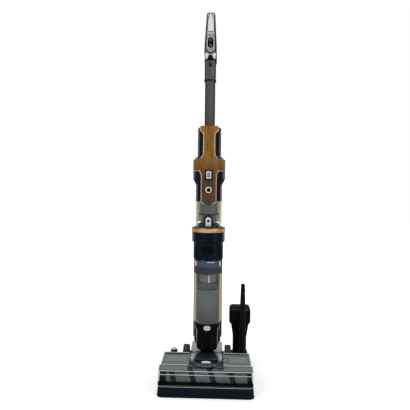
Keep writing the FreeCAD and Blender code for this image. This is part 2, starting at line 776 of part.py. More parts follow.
def crevice_tool():
    tool = new_body("crevice_form")
    outer, wall = crevice_bore + d.crevice_wall, d.crevice_wall
    socket, length = d.crevice_socket, d.crevice_length
    wide, deep = d.crevice_tip, d.crevice_depth
    extrude(tool, "XY", 0, socket, nearly_round(outer))
    loft(tool, [(socket, nearly_round(outer)), (length, Slot(0, 0, wide, deep))])
    bore, mouth = crevice_bore + 0.1, Slot(0, 0, wide - wall * 1.3, deep - wall * 1.3)
    extrude(tool, "XY", 0, socket, nearly_round(bore), cut=True)
    loft(tool, [(socket, nearly_round(bore)), (length, mouth)], cut=True)
    slant = [(-deep, length - 16), (deep, length + 4), (deep, length + 20), (-deep, length + 20)]
    extrude(tool, "YZ", -outer, outer * 2, slant, cut=True)
    place(tool, crevice_side, d.crevice_back, tool_seat)
    node(tool, "crevice_tool")


brush_shell_radius = d.brush_roll + 3
brush_roll_level = d.brush_length - brush_shell_radius - 3
brush_roll_back = d.brush_depth / 2 - d.brush_roll + 4


def mini_brush():
    brush = new_body("mini_brush_form")
    head, shoulder, neck = d.brush_width / 2, d.brush_shoulder / 2, d.brush_neck / 2
    top, low = d.brush_length, d.brush_length - d.brush_head
    front = [
        (-neck, 0), (neck, 0), (neck, low * 0.55, 14), (shoulder, low - 4, 6), (head, low + 2, 4),
        (head, top, 12), (-head, top, 12), (-head, low + 2, 4), (-shoulder, low - 4, 6),
        (-neck, low * 0.55, 14),
    ]
    extrude(brush, "XZ", -d.brush_depth / 2, d.brush_depth, front)
    side = [
        (-d.brush_depth, top - 15), (-d.brush_depth / 2, top - 15), (-d.brush_depth / 2 + 12, top + 1),
        (-d.brush_depth, top + 1),
    ]
    extrude(brush, "YZ", -d.brush_width, d.brush_width * 2, side, cut=True)
    extrude(brush, "XY", 0, d.spigot_height + 4, Circle(0, 0, crevice_bore), cut=True)
    bay = head - d.brush_wall
    chamber = Circle(brush_roll_back, brush_roll_level, brush_shell_radius)
    extrude(brush, "YZ", -bay, bay * 2, chamber, cut=True)
    pin = Circle(brush_roll_back, brush_roll_level, 3 + d.shaft_gap)
    extrude(brush, "YZ", -bay - 2, bay * 2 + 4, pin, cut=True)
    place(brush, brush_side, d.brush_back, tool_seat)
    node(brush, "mini_brush_body")


def mini_roller():
    bay = d.brush_width / 2 - d.brush_wall
    radius = d.brush_roll
    ends = bay - 0.5
    roller = turned(
        "mini_roller_core",
        [
            (-bay - 1.5, 0), (bay + 1.5, 0), (bay + 1.5, 3), (ends, 3), (ends, radius - 4),
            (-ends, radius - 4), (-ends, 3), (-bay - 1.5, 3),
        ],
        axis="X",
    )
    row = extrude(roller, "YZ", -ends, ends * 2, box_outline(-1.2, radius - 6, 1.2, radius))
    pattern = roller.newObject("PartDesign::PolarPattern", "mini_roller_rows")
    pattern.Originals = [row]
    pattern.Axis = (roller.Origin.OriginFeatures[0], [""])
    pattern.Occurrences = 6
    pattern.Angle = 360
    roller.Tip = pattern
    doc.recompute()
    y, z = d.brush_back + brush_roll_back, tool_seat + brush_roll_level
    place(roller, brush_side, y, z)
    node(roller, "mini_brush_roller")


# ---------------------------------------------------------------- floor head

roller_axis = (-d.roller_front, roller_level)
lug_outer = d.lug_inner + d.lug_wall
wing_inner = d.bridge_half + d.seat_gap


def chassis_plate(body, start, length):
    """One upright plate of the chassis with its nose round the roller."""
    nose = Circle(*roller_axis, d.roller_radius + 2.5)
    extrude(body, "YZ", start, length, nose)
    rear = box_outline(-d.roller_front, chassis_low, -d.chassis_back, chassis_top)
    extrude(body, "YZ", start, length, rear)


def belt_bay():
    return box_outline(
        -d.roller_front - d.large_pulley - 3, roller_level - d.large_pulley - 2.5,
        5 + d.small_pulley - d.motor_front, roller_level + d.large_pulley + 2.5, 10,
    )


def head_chassis():
    body = new_body("chassis_form")
    half, wall = chassis_half, d.chassis_wall
    block = box_outline(-d.trough_back - 9, chassis_low, -d.chassis_back, chassis_top)
    extrude(body, "YZ", -half, half * 2, block)
    chamber = Circle(*roller_axis, chamber_radius)
    extrude(body, "YZ", roller_left - 0.01, roller_right - roller_left + 0.02, chamber, cut=True)
    chassis_plate(body, -half, d.drive_box)
    chassis_plate(body, roller_right, d.end_plate)
    below = box_outline(-d.roller_front - 40, chassis_low - 20, -d.chassis_back + 5, chassis_low)
    extrude(body, "YZ", -half - 1, half * 2 + 2, below, cut=True)
    extrude(body, "YZ", wall - half, d.drive_box - wall * 2, belt_bay(), cut=True)
    inside = box_outline(
        d.drive_box - half, wall - d.trough_back - 4, half - wall, -d.chassis_back - wall
    )
    extrude(body, "XY", chassis_low + wall, d.chassis_height, inside, cut=True)
    blade = box_outline(-d.blade_back - d.blade_thick, chassis_low - 1, -d.blade_back, chassis_low + 6)
    extrude(body, "YZ", roller_left + 2, roller_right - roller_left - 4, blade, cut=True)
    bore = d.roller_stub + d.shaft_gap
    extrude(body, "YZ", roller_left - wall - 1, wall + 1, Circle(*roller_axis, bore), cut=True)
    extrude(body, "YZ", roller_right, d.end_plate - 2.5, Circle(*roller_axis, bore), cut=True)
    shaft = Circle(-d.motor_front, motor_level, d.motor_shaft + d.slip_gap)
    extrude(body, "YZ", roller_left - wall - 1, wall + 1, shaft, cut=True)
    for start in (d.lug_inner, -lug_outer):
        extrude(body, "YZ", start, d.lug_wall, Circle(0, axle_level, d.lug_radius))
        web = box_outline(
            -d.chassis_back - 1, axle_level - d.lug_radius, 0, axle_level + d.lug_radius - 2
        )
        extrude(body, "YZ", start, d.lug_wall, web)
    axle = Circle(0, axle_level, d.axle_radius + d.shaft_gap)
    extrude(body, "YZ", -lug_outer, lug_outer * 2, axle, cut=True)
    node(body, "head_chassis")


def wing_profile():
    """The side outline of the sloping deck."""
    front, back = -d.cover_back + 0.5, 4 - d.chassis_back
    low, high = chassis_top + d.wing_front_rise, chassis_top + d.wing_back_rise
    rim = high + d.wing_rim
    return [
        (front, chassis_top), (back, chassis_top), (back, rim, 1.2),
        (back - d.wing_rim_depth, rim, 1.2), (back - d.wing_rim_depth - 1, high), (front, low),
    ]


def head_deck():
    body = new_body("deck_form")
    width = chassis_half - wing_inner
    for start in (wing_inner, -chassis_half):
        extrude(body, "YZ", start, width, wing_profile())
    front, back = -d.cover_back + 0.5, d.seat_gap - d.bridge_back
    strip = box_outline(front, chassis_top, back, chassis_top + d.strip_rise)
    extrude(body, "YZ", -wing_inner - 1, wing_inner * 2 + 2, strip)
    full = chassis_half * 2 + 2
    extrude(body, "YZ", -full / 2, full, Circle(*roller_axis, chamber_radius), cut=True)
    border, back = d.wing_border, 4 - d.chassis_back - d.wing_rim_depth - 1
    front = -d.cover_back + 0.5
    slope = (d.wing_back_rise - d.wing_front_rise) / (back - front)
    low = chassis_top + d.wing_front_rise - d.wing_recess
    recess = [
        (front + border, low + border * slope), (back - border, low + (back - front - border) * slope),
        (back - border, chassis_top + 30), (front + border, chassis_top + 30),
    ]
    for start in (wing_inner + border, border - chassis_half):
        extrude(body, "YZ", start, width - border * 2, recess, cut=True)
    doc.recompute()
    edge = chassis_half.value - 0.01
    tall = d.wing_back_rise.value
    round_edges(
        body, 3,
        lambda e: along(e, Vector(0, 0, 1)) and e.BoundBox.ZLength > tall
        and max(abs(e.BoundBox.XMin), abs(e.BoundBox.XMax)) > edge,
    )
    node(body, "head_deck")


def neck_shroud():
    half = d.bridge_half - 2
    front, back = -d.bridge_back + d.seat_gap, -d.chassis_back
    rise = chassis_top + d.bridge_rise
    side = [(front, chassis_top), (back, chassis_top), (back, rise + 4, 2), (front, rise, 1)]
    form = prism("shroud_block", "YZ", -half, half * 2, side)
    round_edges(
        form, 5,
        lambda e: abs(abs(e.BoundBox.Center.x) - half.value) < 0.01 and e.BoundBox.ZMin > rise.value - 1
        and e.BoundBox.YLength > 20,
    )
    well = rod("shroud_well", "XY", chassis_top - 5, 60, 0, 0, d.arm_bulge + d.well_gap)
    node(cut("shroud_cut", form, well), "neck_shroud")


def drive_parts():
    length, radius = d.motor_length, d.motor_radius
    start = roller_left
    motor = new_body("roller_motor_form")
    centre = (-d.motor_front, motor_level)
    extrude(motor, "YZ", start, length, Circle(*centre, radius))
    round_edges(motor, 2, lambda e: abs(e.BoundBox.XMin - (start + length).value) < 0.01)
    extrude(motor, "YZ", start + length, 5, Circle(*centre, 6))
    node(motor, "roller_motor")
    pulley = new_body("motor_pulley_form")
    middle, half = belt_middle, d.belt_width / 2
    extrude(pulley, "YZ", middle - half, d.belt_width, Circle(*centre, d.small_pulley))
    stub = start - middle - half - d.seat_gap
    extrude(pulley, "YZ", middle + half, stub, Circle(*centre, d.motor_shaft))
    node(pulley, "motor_pulley")


def drive_belt():
    """A flat belt round both pulleys: the hull of two circles less the same hull within."""
    outer, inner = belt_hull("belt_outer", d.belt_thick), belt_hull("belt_inner", 0)
    node(cut("belt_cut", outer, inner), "drive_belt")


def belt_hull(name, grow):
    """The stretched outline round both pulleys, its straight runs tangent to the circles."""
    large = (-d.roller_front.value, roller_level.value, (d.large_pulley + d.seat_gap + grow).value)
    small = (-d.motor_front.value, motor_level.value, (d.small_pulley + d.seat_gap + grow).value)
    reach = math.hypot(small[0] - large[0], small[1] - large[1])
    heading = math.atan2(small[1] - large[1], small[0] - large[0])
    spread = math.acos((large[2] - small[2]) / reach)
    x = (belt_middle - d.belt_width / 2).value

    def spot(circle, angle):
        return Vector(x, circle[0] + circle[2] * math.cos(angle), circle[1] + circle[2] * math.sin(angle))

    above, below = heading + spread, heading - spread
    edges = [
        Part.LineSegment(spot(large, above), spot(small, above)).toShape(),
        Part.Arc(spot(small, above), spot(small, heading), spot(small, below)).toShape(),
        Part.LineSegment(spot(small, below), spot(large, below)).toShape(),
        Part.Arc(spot(large, below), spot(large, heading + math.pi), spot(large, above)).toShape(),
    ]
    face = Part.Face(Part.Wire(edges))
    made = doc.addObject("Part::Feature", name)
    made.Shape = face.extrude(Vector(d.belt_width.value, 0, 0))
    return made


def squeegee():
    height = d.chassis_clear + 6 - 0.7
    low = ground + 0.7
    start, length = roller_left + 2, roller_right - roller_left - 4
    outline = box_outline(-d.blade_back - d.blade_thick, low, -d.blade_back, low + height)
    node(prism("blade_form", "YZ", start, length, outline), "squeegee")


def head_axle():
    reach = d.wheel_centre + d.wheel_width / 2 + d.seat_gap
    cap = reach + d.axle_cap_width
    outline = [
        (-cap, 0), (cap, 0), (cap, d.axle_cap, 1.2), (reach, d.axle_cap), (reach, d.axle_radius),
        (-reach, d.axle_radius), (-reach, d.axle_cap), (-cap, d.axle_cap, 1.2),
    ]
    node(place(turned("axle_form", outline, axis="X"), 0, 0, axle_level), "head_axle")


def wheels():
    half, tread = d.wheel_width / 2, d.wheel_radius
    rim = tread - d.tyre_depth
    bore = d.axle_radius + d.shaft_gap
    for side, name in ((-1, "left"), (1, "right")):
        tyre = turned(
            f"wheel_{name}_tyre_form",
            [(-half, rim), (half, rim), (half, tread, 3), (-half, tread, 3)],
            axis="X",
        )
        node(place(tyre, side * d.wheel_centre, 0, axle_level), f"wheel_{name}_tyre")
        hub = turned(
            f"wheel_{name}_hub_form",
            [
                (-half, bore), (half, bore), (half, bore + 4), (half - 6, bore + 5),
                (half - 6, rim - 4), (half, rim - 3), (half, rim), (-half, rim), (-half, rim - 3),
                (6 - half, rim - 4), (6 - half, bore + 5), (-half, bore + 4),
            ],
            axis="X",
        )
        hole = extrude(hub, "YZ", -half, d.wheel_width, Circle(0, (bore + rim) / 2 + 0.5, 5), cut=True)
        pattern = hub.newObject("PartDesign::PolarPattern", f"wheel_{name}_holes")
        pattern.Originals = [hole]
        pattern.Axis = (hub.Origin.OriginFeatures[0], [""])
        pattern.Occurrences = 6
        pattern.Angle = 360
        hub.Tip = pattern
        doc.recompute()
        node(place(hub, side * d.wheel_centre, 0, axle_level), f"wheel_{name}_hub")


def roller():
    left, right = roller_left + d.seat_gap, roller_right - d.seat_gap
    tube = d.roller_radius - d.pile_depth
    stub = d.roller_stub
    pulley = (belt_middle - d.belt_width / 2, belt_middle + d.belt_width / 2)
    core = turned(
        "roller_core_form",
        [
            (pulley[0], 0), (right + d.end_plate - 3, 0), (right + d.end_plate - 3, stub),
            (right, stub), (right, tube), (left, tube), (left, stub), (pulley[1], stub),
            (pulley[1], d.large_pulley), (pulley[0], d.large_pulley),
        ],
        axis="X",
    )
    node(place(core, 0, *roller_axis), "roller_core")
    sleeve = turned(
        "roller_sleeve_form",
        [
            (left + 1, tube), (right - 1, tube), (right - 1, d.roller_radius, 2),
            (left + 1, d.roller_radius, 2),
        ],
        axis="X",
    )
    node(place(sleeve, 0, *roller_axis), "roller_sleeve")


def roller_cover():
    half = d.head_width / 2
    body = new_body("cover_form")
    extrude(body, "YZ", -half, half * 2, Circle(*roller_axis, cover_outer))
    behind = box_outline(-d.cover_back, roller_level - 50, 0, roller_level + 50)
    extrude(body, "YZ", -half - 1, half * 2 + 2, behind, cut=True)
    rise = chassis_top + d.bridge_rise
    strip = chassis_top + d.strip_rise + d.seat_gap
    bridge = [
        (-d.bridge_front, strip - 4), (-d.cover_back, strip - 4), (-d.cover_back, strip),
        (-d.bridge_back, strip), (-d.bridge_back, rise, 1),
        (1 - d.cover_back, rise - 0.8), (3 - d.bridge_front, strip + 1.5, 3),
    ]
    extrude(body, "YZ", -d.bridge_half, d.bridge_half * 2, bridge)
    hollow = box_outline(-d.bridge_back - 21, strip - 8, 1 - d.bridge_back, rise - d.cover_wall)
    inside = d.bridge_half - d.cover_wall
    extrude(body, "YZ", -inside, inside * 2, hollow, cut=True)
    inner = half - d.cover_wall
    extrude(body, "YZ", -inner, inner * 2, Circle(*roller_axis, cover_inner), cut=True)
    below = box_outline(-d.roller_front - 60, roller_level - 60, 0, cover_low)
    extrude(body, "YZ", -half - 1, half * 2 + 2, below, cut=True)
    window = Slot(0, -d.latch_front, d.latch_width + d.slip_gap * 2, d.latch_depth + d.slip_gap * 2)
    extrude(body, "XY", strip - 2, d.bridge_rise + 20, window, cut=True)
    node(body, "roller_cover")


def cover_bumper():
    half = d.head_width / 2
    outer = cover_outer + d.bumper_depth
    body = new_body("bumper_form")
    extrude(body, "YZ", -half, half * 2, Circle(*roller_axis, outer))
    extrude(body, "YZ", -half - 1, half * 2 + 2, Circle(*roller_axis, cover_outer), cut=True)
    high, low = cover_low + d.bumper_height, cover_low
    reach = d.roller_front + outer + 1
    below = box_outline(-reach, low - outer, 0, low)
    above = box_outline(-reach, high, 0, high + outer)
    extrude(body, "YZ", -half - 1, half * 2 + 2, below, cut=True)
    extrude(body, "YZ", -half - 1, half * 2 + 2, above, cut=True)
    back = box_outline(-d.roller_front, low - outer, 0, high + outer)
    extrude(body, "YZ", -half - 1, half * 2 + 2, back, cut=True)
    node(body, "cover_bumper")


def cover_latch():
    rise = chassis_top + d.bridge_rise
    low = chassis_top + d.strip_rise + d.seat_gap + d.key_travel + 0.5
    key = prism(
        "cover_latch_form", "XY", low, rise + d.key_proud - low,
        Slot(0, -d.latch_front, d.latch_width, d.latch_depth),
    )
    top = (rise + d.key_proud).value
    round_edges(key, 1, lambda e: abs(e.BoundBox.ZMin - top) < 0.01 and e.BoundBox.ZLength < 0.01)
    node(key, "cover_latch")


# ---------------------------------------------------------------- neck

arm_inner = panel_radius + 0.8
arm_top = drum_top + d.arm_height


def neck_core():
    drum_low = drum_top - d.drum_depth
    barrel = d.lug_inner - d.seat_gap
    body = new_body("neck_core_form")
    extrude(body, "YZ", -barrel, barrel * 2, Circle(0, axle_level, d.barrel_radius))
    extrude(body, "XY", drum_low, d.drum_depth, Circle(0, 0, panel_radius - 0.2))
    bore = Circle(0, 0, d.swivel_radius + d.shaft_gap)
    depth = d.swivel_length + 1
    extrude(body, "XY", drum_top - depth, depth, bore, cut=True)
    axle = Circle(0, axle_level, d.axle_radius + d.shaft_gap)
    extrude(body, "YZ", -barrel, barrel * 2, axle, cut=True)
    node(body, "neck_core")


def neck_arms():
    """The horned shell round the foot of the body, low in front and behind."""
    low = drum_top - d.drum_depth + 1
    drum = panel_radius - 0.2
    shell = turned(
        "arms_shell",
        [
            (drum, low), (drum + 1, low), (d.arm_bulge - 3, low + 5),
            (d.arm_bulge, drum_top + 1, 6), (d.arm_bulge - 0.4, drum_top + 17, 8),
            (arm_inner + d.arm_wall, arm_top), (arm_inner, arm_top),
            (arm_inner, drum_top + 0.1), (drum, drum_top + 0.1),
        ],
    )
    notch, tip = drum_top - d.arm_notch, d.arm_tip_offset
    reach = d.arm_bulge + 10
    front = [
        (0, notch), (tip * 0.5, notch + 14, 20), (tip * 0.72, notch + 27, 20), (tip, arm_top + 1),
        (-tip, arm_top + 1), (-tip * 0.72, notch + 27, 20), (-tip * 0.5, notch + 14, 20),
    ]
    front_cut = prism("arms_front", "XZ", -reach, reach, front)
    slope = [
        (-d.arm_bulge * 0.45, arm_top + 5), (-d.arm_bulge * 0.4, arm_top - 3, 10), (0, arm_top - 12, 30),
        (reach, low + 3), (reach, arm_top + 5),
    ]
    back_cut = prism("arms_back", "YZ", -reach, reach * 2, slope)
    barrel = rod("arms_barrel", "YZ", -reach, reach * 2, 0, axle_level, d.barrel_radius + 0.2)
    node(cut("arms_cut", shell, front_cut, back_cut, barrel), "neck_arms")


# ---------------------------------------------------------------- lower body and rear spine

tank_key_level = housing_top - d.tank_key_drop


def key_hole(name, across, up, width, height, depth_from, rounded=True):
    """A stamp through a wall, larger than its key by the slip gap."""
    wide, tall = width + d.slip_gap * 2, height + d.slip_gap * 2
    shape = Slot(across, up, wide, tall) if rounded else box_outline(
        across - wide / 2, up - tall / 2, across + wide / 2, up + tall / 2, 2.4
    )
    return prism(name, "XZ", -(strip_face + 20), strip_face + 20 - depth_from, shape)


def panel_outline():
    half, shoulder = d.panel_half, housing_top - d.panel_shoulder
    wide, top = d.body_radius - 2, housing_top - 0.4
    return [
        (-half, housing_low + 1), (half, housing_low + 1), (half, shoulder, 3), (wide, shoulder + 6, 2),
        (wide, top), (-wide, top), (-wide, shoulder + 6, 2), (-half, shoulder, 3),
    ]


def lower_body():
    radius = d.body_radius
    swivel = d.swivel_radius
    form = turned(
        "housing_turned",
        [
            (0, drum_top - d.swivel_length), (swivel, drum_top - d.swivel_length, 1),
            (swivel, housing_low), (radius, housing_low, 1), (radius, housing_top), (0, housing_top),
        ],
    )
    depth = panel_radius - d.key_travel - 7
    width, height = d.tank_key_width, d.tank_key_height
    hole = key_hole("tank_key_hole", Size.of(0), tank_key_level, width, height, depth)
    node(cut("housing_cut", form, hole), "lower_housing")
    panel = wrapped("panel", radius, panel_radius, housing_low, housing_top, panel_outline())
    hole = key_hole("tank_key_gap", Size.of(0), tank_key_level, width, height, depth)
    node(cut("panel_cut", panel, hole), "lower_panel")
    face = panel_radius + d.key_proud
    key = wrapped(
        "tank_key", face - 6, face, tank_key_level - 20, tank_key_level + 20,
        Slot(0, tank_key_level, width, height),
    )
    node(key, "tank_button")


def rear_spine():
    half, front, back = d.spine_half, d.spine_front, d.spine_back
    low, high = arm_top + d.spine_clear, tank_top + d.spine_overlap
    outline = [
        (-half, front), (half, front), (half, back, d.spine_corner), (-half, back, d.spine_corner),
    ]
    form = prism("spine_block", "XY", low, high - low, outline)
    foot = [(back - 26, low - 1), (back + 1, low - 1), (back + 1, low + 26)]
    extrude(form, "YZ", -half - 1, half * 2 + 2, foot, cut=True)
    tank = d.tank_radius + d.seat_gap
    steps = turned(
        "spine_steps",
        [
            (0, low - 5), (d.body_radius, low - 5), (d.body_radius, housing_top), (tank, housing_top),
            (tank, collar_low), (d.collar_radius, collar_low), (d.collar_radius, high + 5), (0, high + 5),
        ],
    )
    node(cut("spine_cut", form, steps), "rear_spine")


# ---------------------------------------------------------------- tanks


def dirty_tank():
    radius, wall = d.tank_radius, d.tank_wall
    inside = radius - wall
    node(
        turned(
            "dirty_shell_form",
            [
                (0, tank_low), (radius, tank_low, 3), (radius, shell_top), (inside, shell_top),
                (inside, tank_low + d.tank_floor, 2), (0, tank_low + d.tank_floor),
            ],
        ),
        "dirty_tank_shell",
    )
    plug = inside - 0.2
    pipe = d.pipe_radius
    node(
        turned(
            "tank_lid_form",
            [
                (pipe - 6, shell_top - d.lid_plug), (plug, shell_top - d.lid_plug), (plug, shell_top),
                (radius, shell_top), (radius, tank_top, 2), (pipe - 6, tank_top),
            ],
        ),
        "tank_lid",
    )
    filter_top = shell_top - d.lid_plug
    node(
        turned(
            "tank_filter_form",
            [
                (pipe - 1, filter_top - d.filter_height), (plug - 1, filter_top - d.filter_height),
                (plug - 1, filter_top), (pipe - 1, filter_top),
            ],
        ),
        "tank_filter",
    )
    wall, cup = d.pipe_wall, d.inner_radius
    low = tank_low + d.tank_floor
    cup_top_level = low + d.inner_height
    skirt_top = cup_top_level + d.skirt_height
    end = filter_top - d.filter_height
    node(
        turned(
            "stand_pipe_form",
            [
                (cup - wall, low), (cup, low), (cup, cup_top_level - 2), (d.skirt_radius, cup_top_level),
                (d.skirt_radius, cup_top_level + 2.5), (pipe, skirt_top), (pipe, end),
                (pipe - wall, end), (pipe - wall, skirt_top - 1), (cup - wall, cup_top_level),
            ],
        ),
        "tank_standpipe",
    )


def clean_tank():
    half, wall = d.clean_half, d.clean_wall
    front = d.spine_back + d.seat_gap
    low = housing_top + d.clean_rise
    body = new_body("clean_tank_form")
    outline = [
        (-half, front, 3), (half, front, 3), (half, front + d.clean_depth, 9),
        (-half, front + d.clean_depth, 9),
    ]
    extrude(body, "XY", low, d.clean_height, outline)
    hollow = box_outline(-half + wall, front + wall, half - wall, front + d.clean_depth - wall, 2)
    extrude(body, "XY", low + wall, d.clean_height - wall * 2, hollow, cut=True)
    mouth = Circle(0, front + d.clean_depth / 2, d.cap_radius - 2)
    extrude(body, "XY", low + d.clean_height - wall - 1, wall + 1, mouth, cut=True)
    node(body, "clean_tank")
    top = low + d.clean_height
    cap = turned(
        "clean_cap_form",
        [
            (0, top - 3), (d.cap_radius - 2.1, top - 3), (d.cap_radius - 2.1, top), (d.cap_radius, top),
            (d.cap_radius, top + d.cap_height, 1), (0, top + d.cap_height),
        ],
    )
    node(place(cap, 0, front + d.clean_depth / 2, 0), "clean_tank_cap")


# ---------------------------------------------------------------- motor collar and suction


def motor_collar():
    low, high = d.collar_radius, d.collar_upper
    inside = low - d.collar_wall
    top_plate = step_level + d.collar_step + 2
    nose = d.nose_radius + d.slip_gap
    outline = [
        (d.inlet_radius, collar_low), (low, collar_low, 1), (low, step_level),
        (high, step_level + d.collar_step), (high, socket_level), (nose, socket_level),
        (nose, top_plate), (inside, top_plate), (inside, collar_low + d.collar_plate),
        (d.inlet_radius, collar_low + d.collar_plate),
    ]
    form = turned("collar_turned", outline)
    level = collar_low + d.body_key_level
    width, height = d.body_key_width, d.body_key_height
    hole = key_hole("body_key_hole", Size.of(0), level, width, height, inside - 6, rounded=False)
    notch_level = level - d.notch_drop
    groove = wrapped(
        "finger_groove", low - 1.2, low + 2, collar_low, step_level,
        Slot(0, notch_level, d.notch_width, d.notch_height),
    )
    node(cut("collar_cut", form, hole, groove), "motor_housing")
    face = low + d.key_proud
    outline = box_outline(-width / 2, level - height / 2, width / 2, level + height / 2, 2)
    node(wrapped("body_key", face - 4, face, collar_low, step_level, outline), "body_button")
    node(
        turned(
            "copper_ring_form",
            [
                (d.ring_inner, socket_level), (d.ring_radius, socket_level, 5),
                (d.ring_radius, ring_top, 6), (d.ring_inner, ring_top, 1),
            ],
        ),
        "copper_ring",
    )
    return top_plate


def suction_unit(top_plate):
    can_top = top_plate - d.seat_gap
    can_low = can_top - d.fan_height
    bore = d.fan_shaft + d.shaft_gap
    can = turned(
        "suction_can",
        [
            (0, can_low + 8), (bore, can_low + 8), (bore, can_low),
            (d.fan_radius, can_low, 2), (d.fan_radius, can_top, 2), (0, can_top),
        ],
    )
    node(can, "suction_motor")
    hub, plate = 7, 2
    top = can_low - 0.8
    low = top - d.impeller_height
    fan = turned(
        "impeller_hub",
        [
            (0, low), (hub, low, 2), (hub, top - plate), (d.impeller_radius, top - plate),
            (d.impeller_radius, top), (d.fan_shaft, top), (d.fan_shaft, can_low + 7), (0, can_low + 7),
        ],
    )
    blade = extrude(
        fan, "XY", low + 1, d.impeller_height - plate - 0.5,
        [(hub - 1, -0.8), (d.impeller_radius - 1, 7), (d.impeller_radius - 1, 8.6), (hub - 1, 0.8)],
    )
    pattern = fan.newObject("PartDesign::PolarPattern", "impeller_blades")
    pattern.Originals = [blade]
    pattern.Axis = (fan.Origin.OriginFeatures[2], [""])
    pattern.Occurrences = int(d.blade_count.value)
    pattern.Angle = 360
    fan.Tip = pattern
    doc.recompute()
    node(fan, "suction_impeller")


# ---------------------------------------------------------------- hand vacuum


def arch(width, low, high):
    """A tall outline with a half-round top, drawn from the front."""
    half = width / 2
    return [(-half, low, 3), (half, low, 3), (half, high, half - 0.05), (-half, high, half - 0.05)]


def hand_vac_base():
    seat = socket_level + d.seat_gap
    radius, rim = d.cup_radius, d.cup_radius + d.base_rim
    nose_low = seat - d.nose_length + 3
    form = turned(
        "cup_base_form",
        [
            (d.nose_radius - d.nose_wall, nose_low), (d.nose_radius, nose_low, 1), (d.nose_radius, seat),
            (rim, seat, 1), (rim, cup_low + d.base_lip), (radius + 0.1, cup_low + d.base_lip),
            (radius + 0.1, cup_low), (d.nose_radius - d.nose_wall, cup_low),
        ],
    )
    low = ring_top + 0.6
    high = low + d.arch_height + d.arch_border
    back = radius + 0.1
    width = d.arch_width + d.arch_border * 2
    plate = wrapped("arch_plate", back, back + d.latch_plate, low - 5, high, arch(width, low, high))
    hole_low, hole_high = low + 2 - d.slip_gap, high - d.arch_border + d.slip_gap
    stamp = prism(
        "arch_hole", "XZ", -60, 40, arch(d.arch_width + d.slip_gap * 2, hole_low, hole_high)
    )
    node(cut("cup_base_cut", fuse("cup_base_joined", form, plate), stamp), "cup_base")
    inner = back + d.arch_travel + 0.2
    key = wrapped(
        "arch_key", inner, back + d.latch_plate + d.key_proud, low, high,
        arch(d.arch_width, low + 2, high - d.arch_border),
    )
    node(key, "cup_latch")


def dust_cup():
    radius, wall = d.cup_radius, d.cup_wall
    node(tube_wall("dust_cup_form", radius - wall, radius, cup_low, cup_top), "dust_cup")
    tube, wall = d.cyclone_radius, d.cyclone_wall
    flange_level = (cup_low + cup_top) / 2 + 3
    flare = d.cyclone_flare
    low = cup_low + 6
    node(
        turned(
            "cyclone_form",
            [
                (flare - wall, low), (flare, low), (flare, low + 2), (tube, low + 14),
                (tube, flange_level - 1.5), (d.cyclone_flange, flange_level - 1.5),
                (d.cyclone_flange, flange_level + 1.5), (tube, flange_level + 4), (tube, cup_top),
                (tube - wall, cup_top), (tube - wall, low + 13),
            ],
        ),
        "cyclone",
    )


def vac_outline():
    """The outer form of the hand vacuum from the cup to the battery top."""
    return [
        (d.vac_radius, cup_top), (d.vac_radius, flare_level), (d.vac_barrel_radius, barrel_level),
        (d.vac_barrel_radius, shoulder_level), (d.battery_radius, battery_level),
    ]


def key_stamps():
    """The stamps of the two keys in the gold strip."""
    power = key_hole(
        "power_hole", Size.of(0), cup_top + d.power_level, d.power_width, d.power_height,
        d.vac_barrel_radius - d.vac_wall - 3, rounded=False,
    )
    size = d.round_radius * 2 + d.slip_gap * 2
    face = strip_face
    round_key = prism(
        "round_hole", "XZ", -(face + 20), 27 + d.key_travel,
        Circle(0, cup_top + d.round_level, size / 2),
    )
    return power, round_key


def vac_body():
    wall, hole = d.vac_wall, Size.of(14)
    lower, upper = d.vac_radius - wall, d.vac_barrel_radius - wall
    outline = [(hole, cup_top), *vac_outline()]
    outline += [
        (hole, battery_level), (hole, battery_level - wall),
        (d.battery_radius - wall, battery_level - wall),
        (upper, shoulder_level - 1), (upper, barrel_level + 1), (lower, flare_level + 1),
        (lower, cup_top + wall), (hole, cup_top + wall),
    ]
    form = turned("vac_turned", outline)
    band = band_ring("band_seat", d.band_proud + 3)
    node(cut("vac_cut", form, band, *key_stamps()), "vac_housing")
    low = barrel_level + 1.3
    flange = upper - 0.1
    motor = turned(
        "vac_motor_form",
        [
            (0, low), (flange, low), (flange, low + 3), (d.vac_motor_radius, low + 3),
            (d.vac_motor_radius, low + d.vac_motor_height, 3), (0, low + d.vac_motor_height),
        ],
    )
    node(motor, "vac_motor")


def band_ring(name, reach):
    inner = d.vac_barrel_radius + d.band_proud - d.band_depth
    outer = d.vac_barrel_radius + reach
    high = shoulder_level - 0.6
    return tube_wall(name, inner, outer, high - d.band_height, high)


def gold_trim():
    """The gold band and the strip down the front, one moulding."""
    band_low = shoulder_level - 0.6 - d.band_height
    low, high = cup_top - d.strip_drop, battery_top - 0.3
    narrow, flared, wide = d.strip_half, d.strip_flare_half, d.strip_low_half
    outline = [
        (-wide, low, 10), (wide, low, 10), (wide, band_low - 12, 6), (wide + 8, band_low + 2),
        (narrow + 8, shoulder_level + 2), (narrow, shoulder_level + 14, 6), (narrow, high - 24, 8),
        (flared, high - 12, 4), (flared, high),
    ]
    outline += [(-corner[0], *corner[1:]) for corner in reversed(outline[2:])]
    blank = prism("strip_blank", "XZ", -strip_face, strip_face - d.strip_root, outline)
    round_front = rod("strip_round", "XY", low - 1, high - low + 2, 0, 0, strip_face)
    strip = common("strip_form", blank, round_front)
    core = turned(
        "strip_core",
        [
            (0, low - 2), (d.cup_radius + 0.4, low - 2), (d.cup_radius + 0.4, cup_top), *vac_outline(),
            (d.battery_radius, high + 2), (0, high + 2),
        ],
    )
    band = band_ring("gold_band", d.band_proud)
    joined = fuse("gold_joined", cut("strip_shell", strip, core), band)
    node(cut("gold_cut", joined, *key_stamps()), "gold_trim")


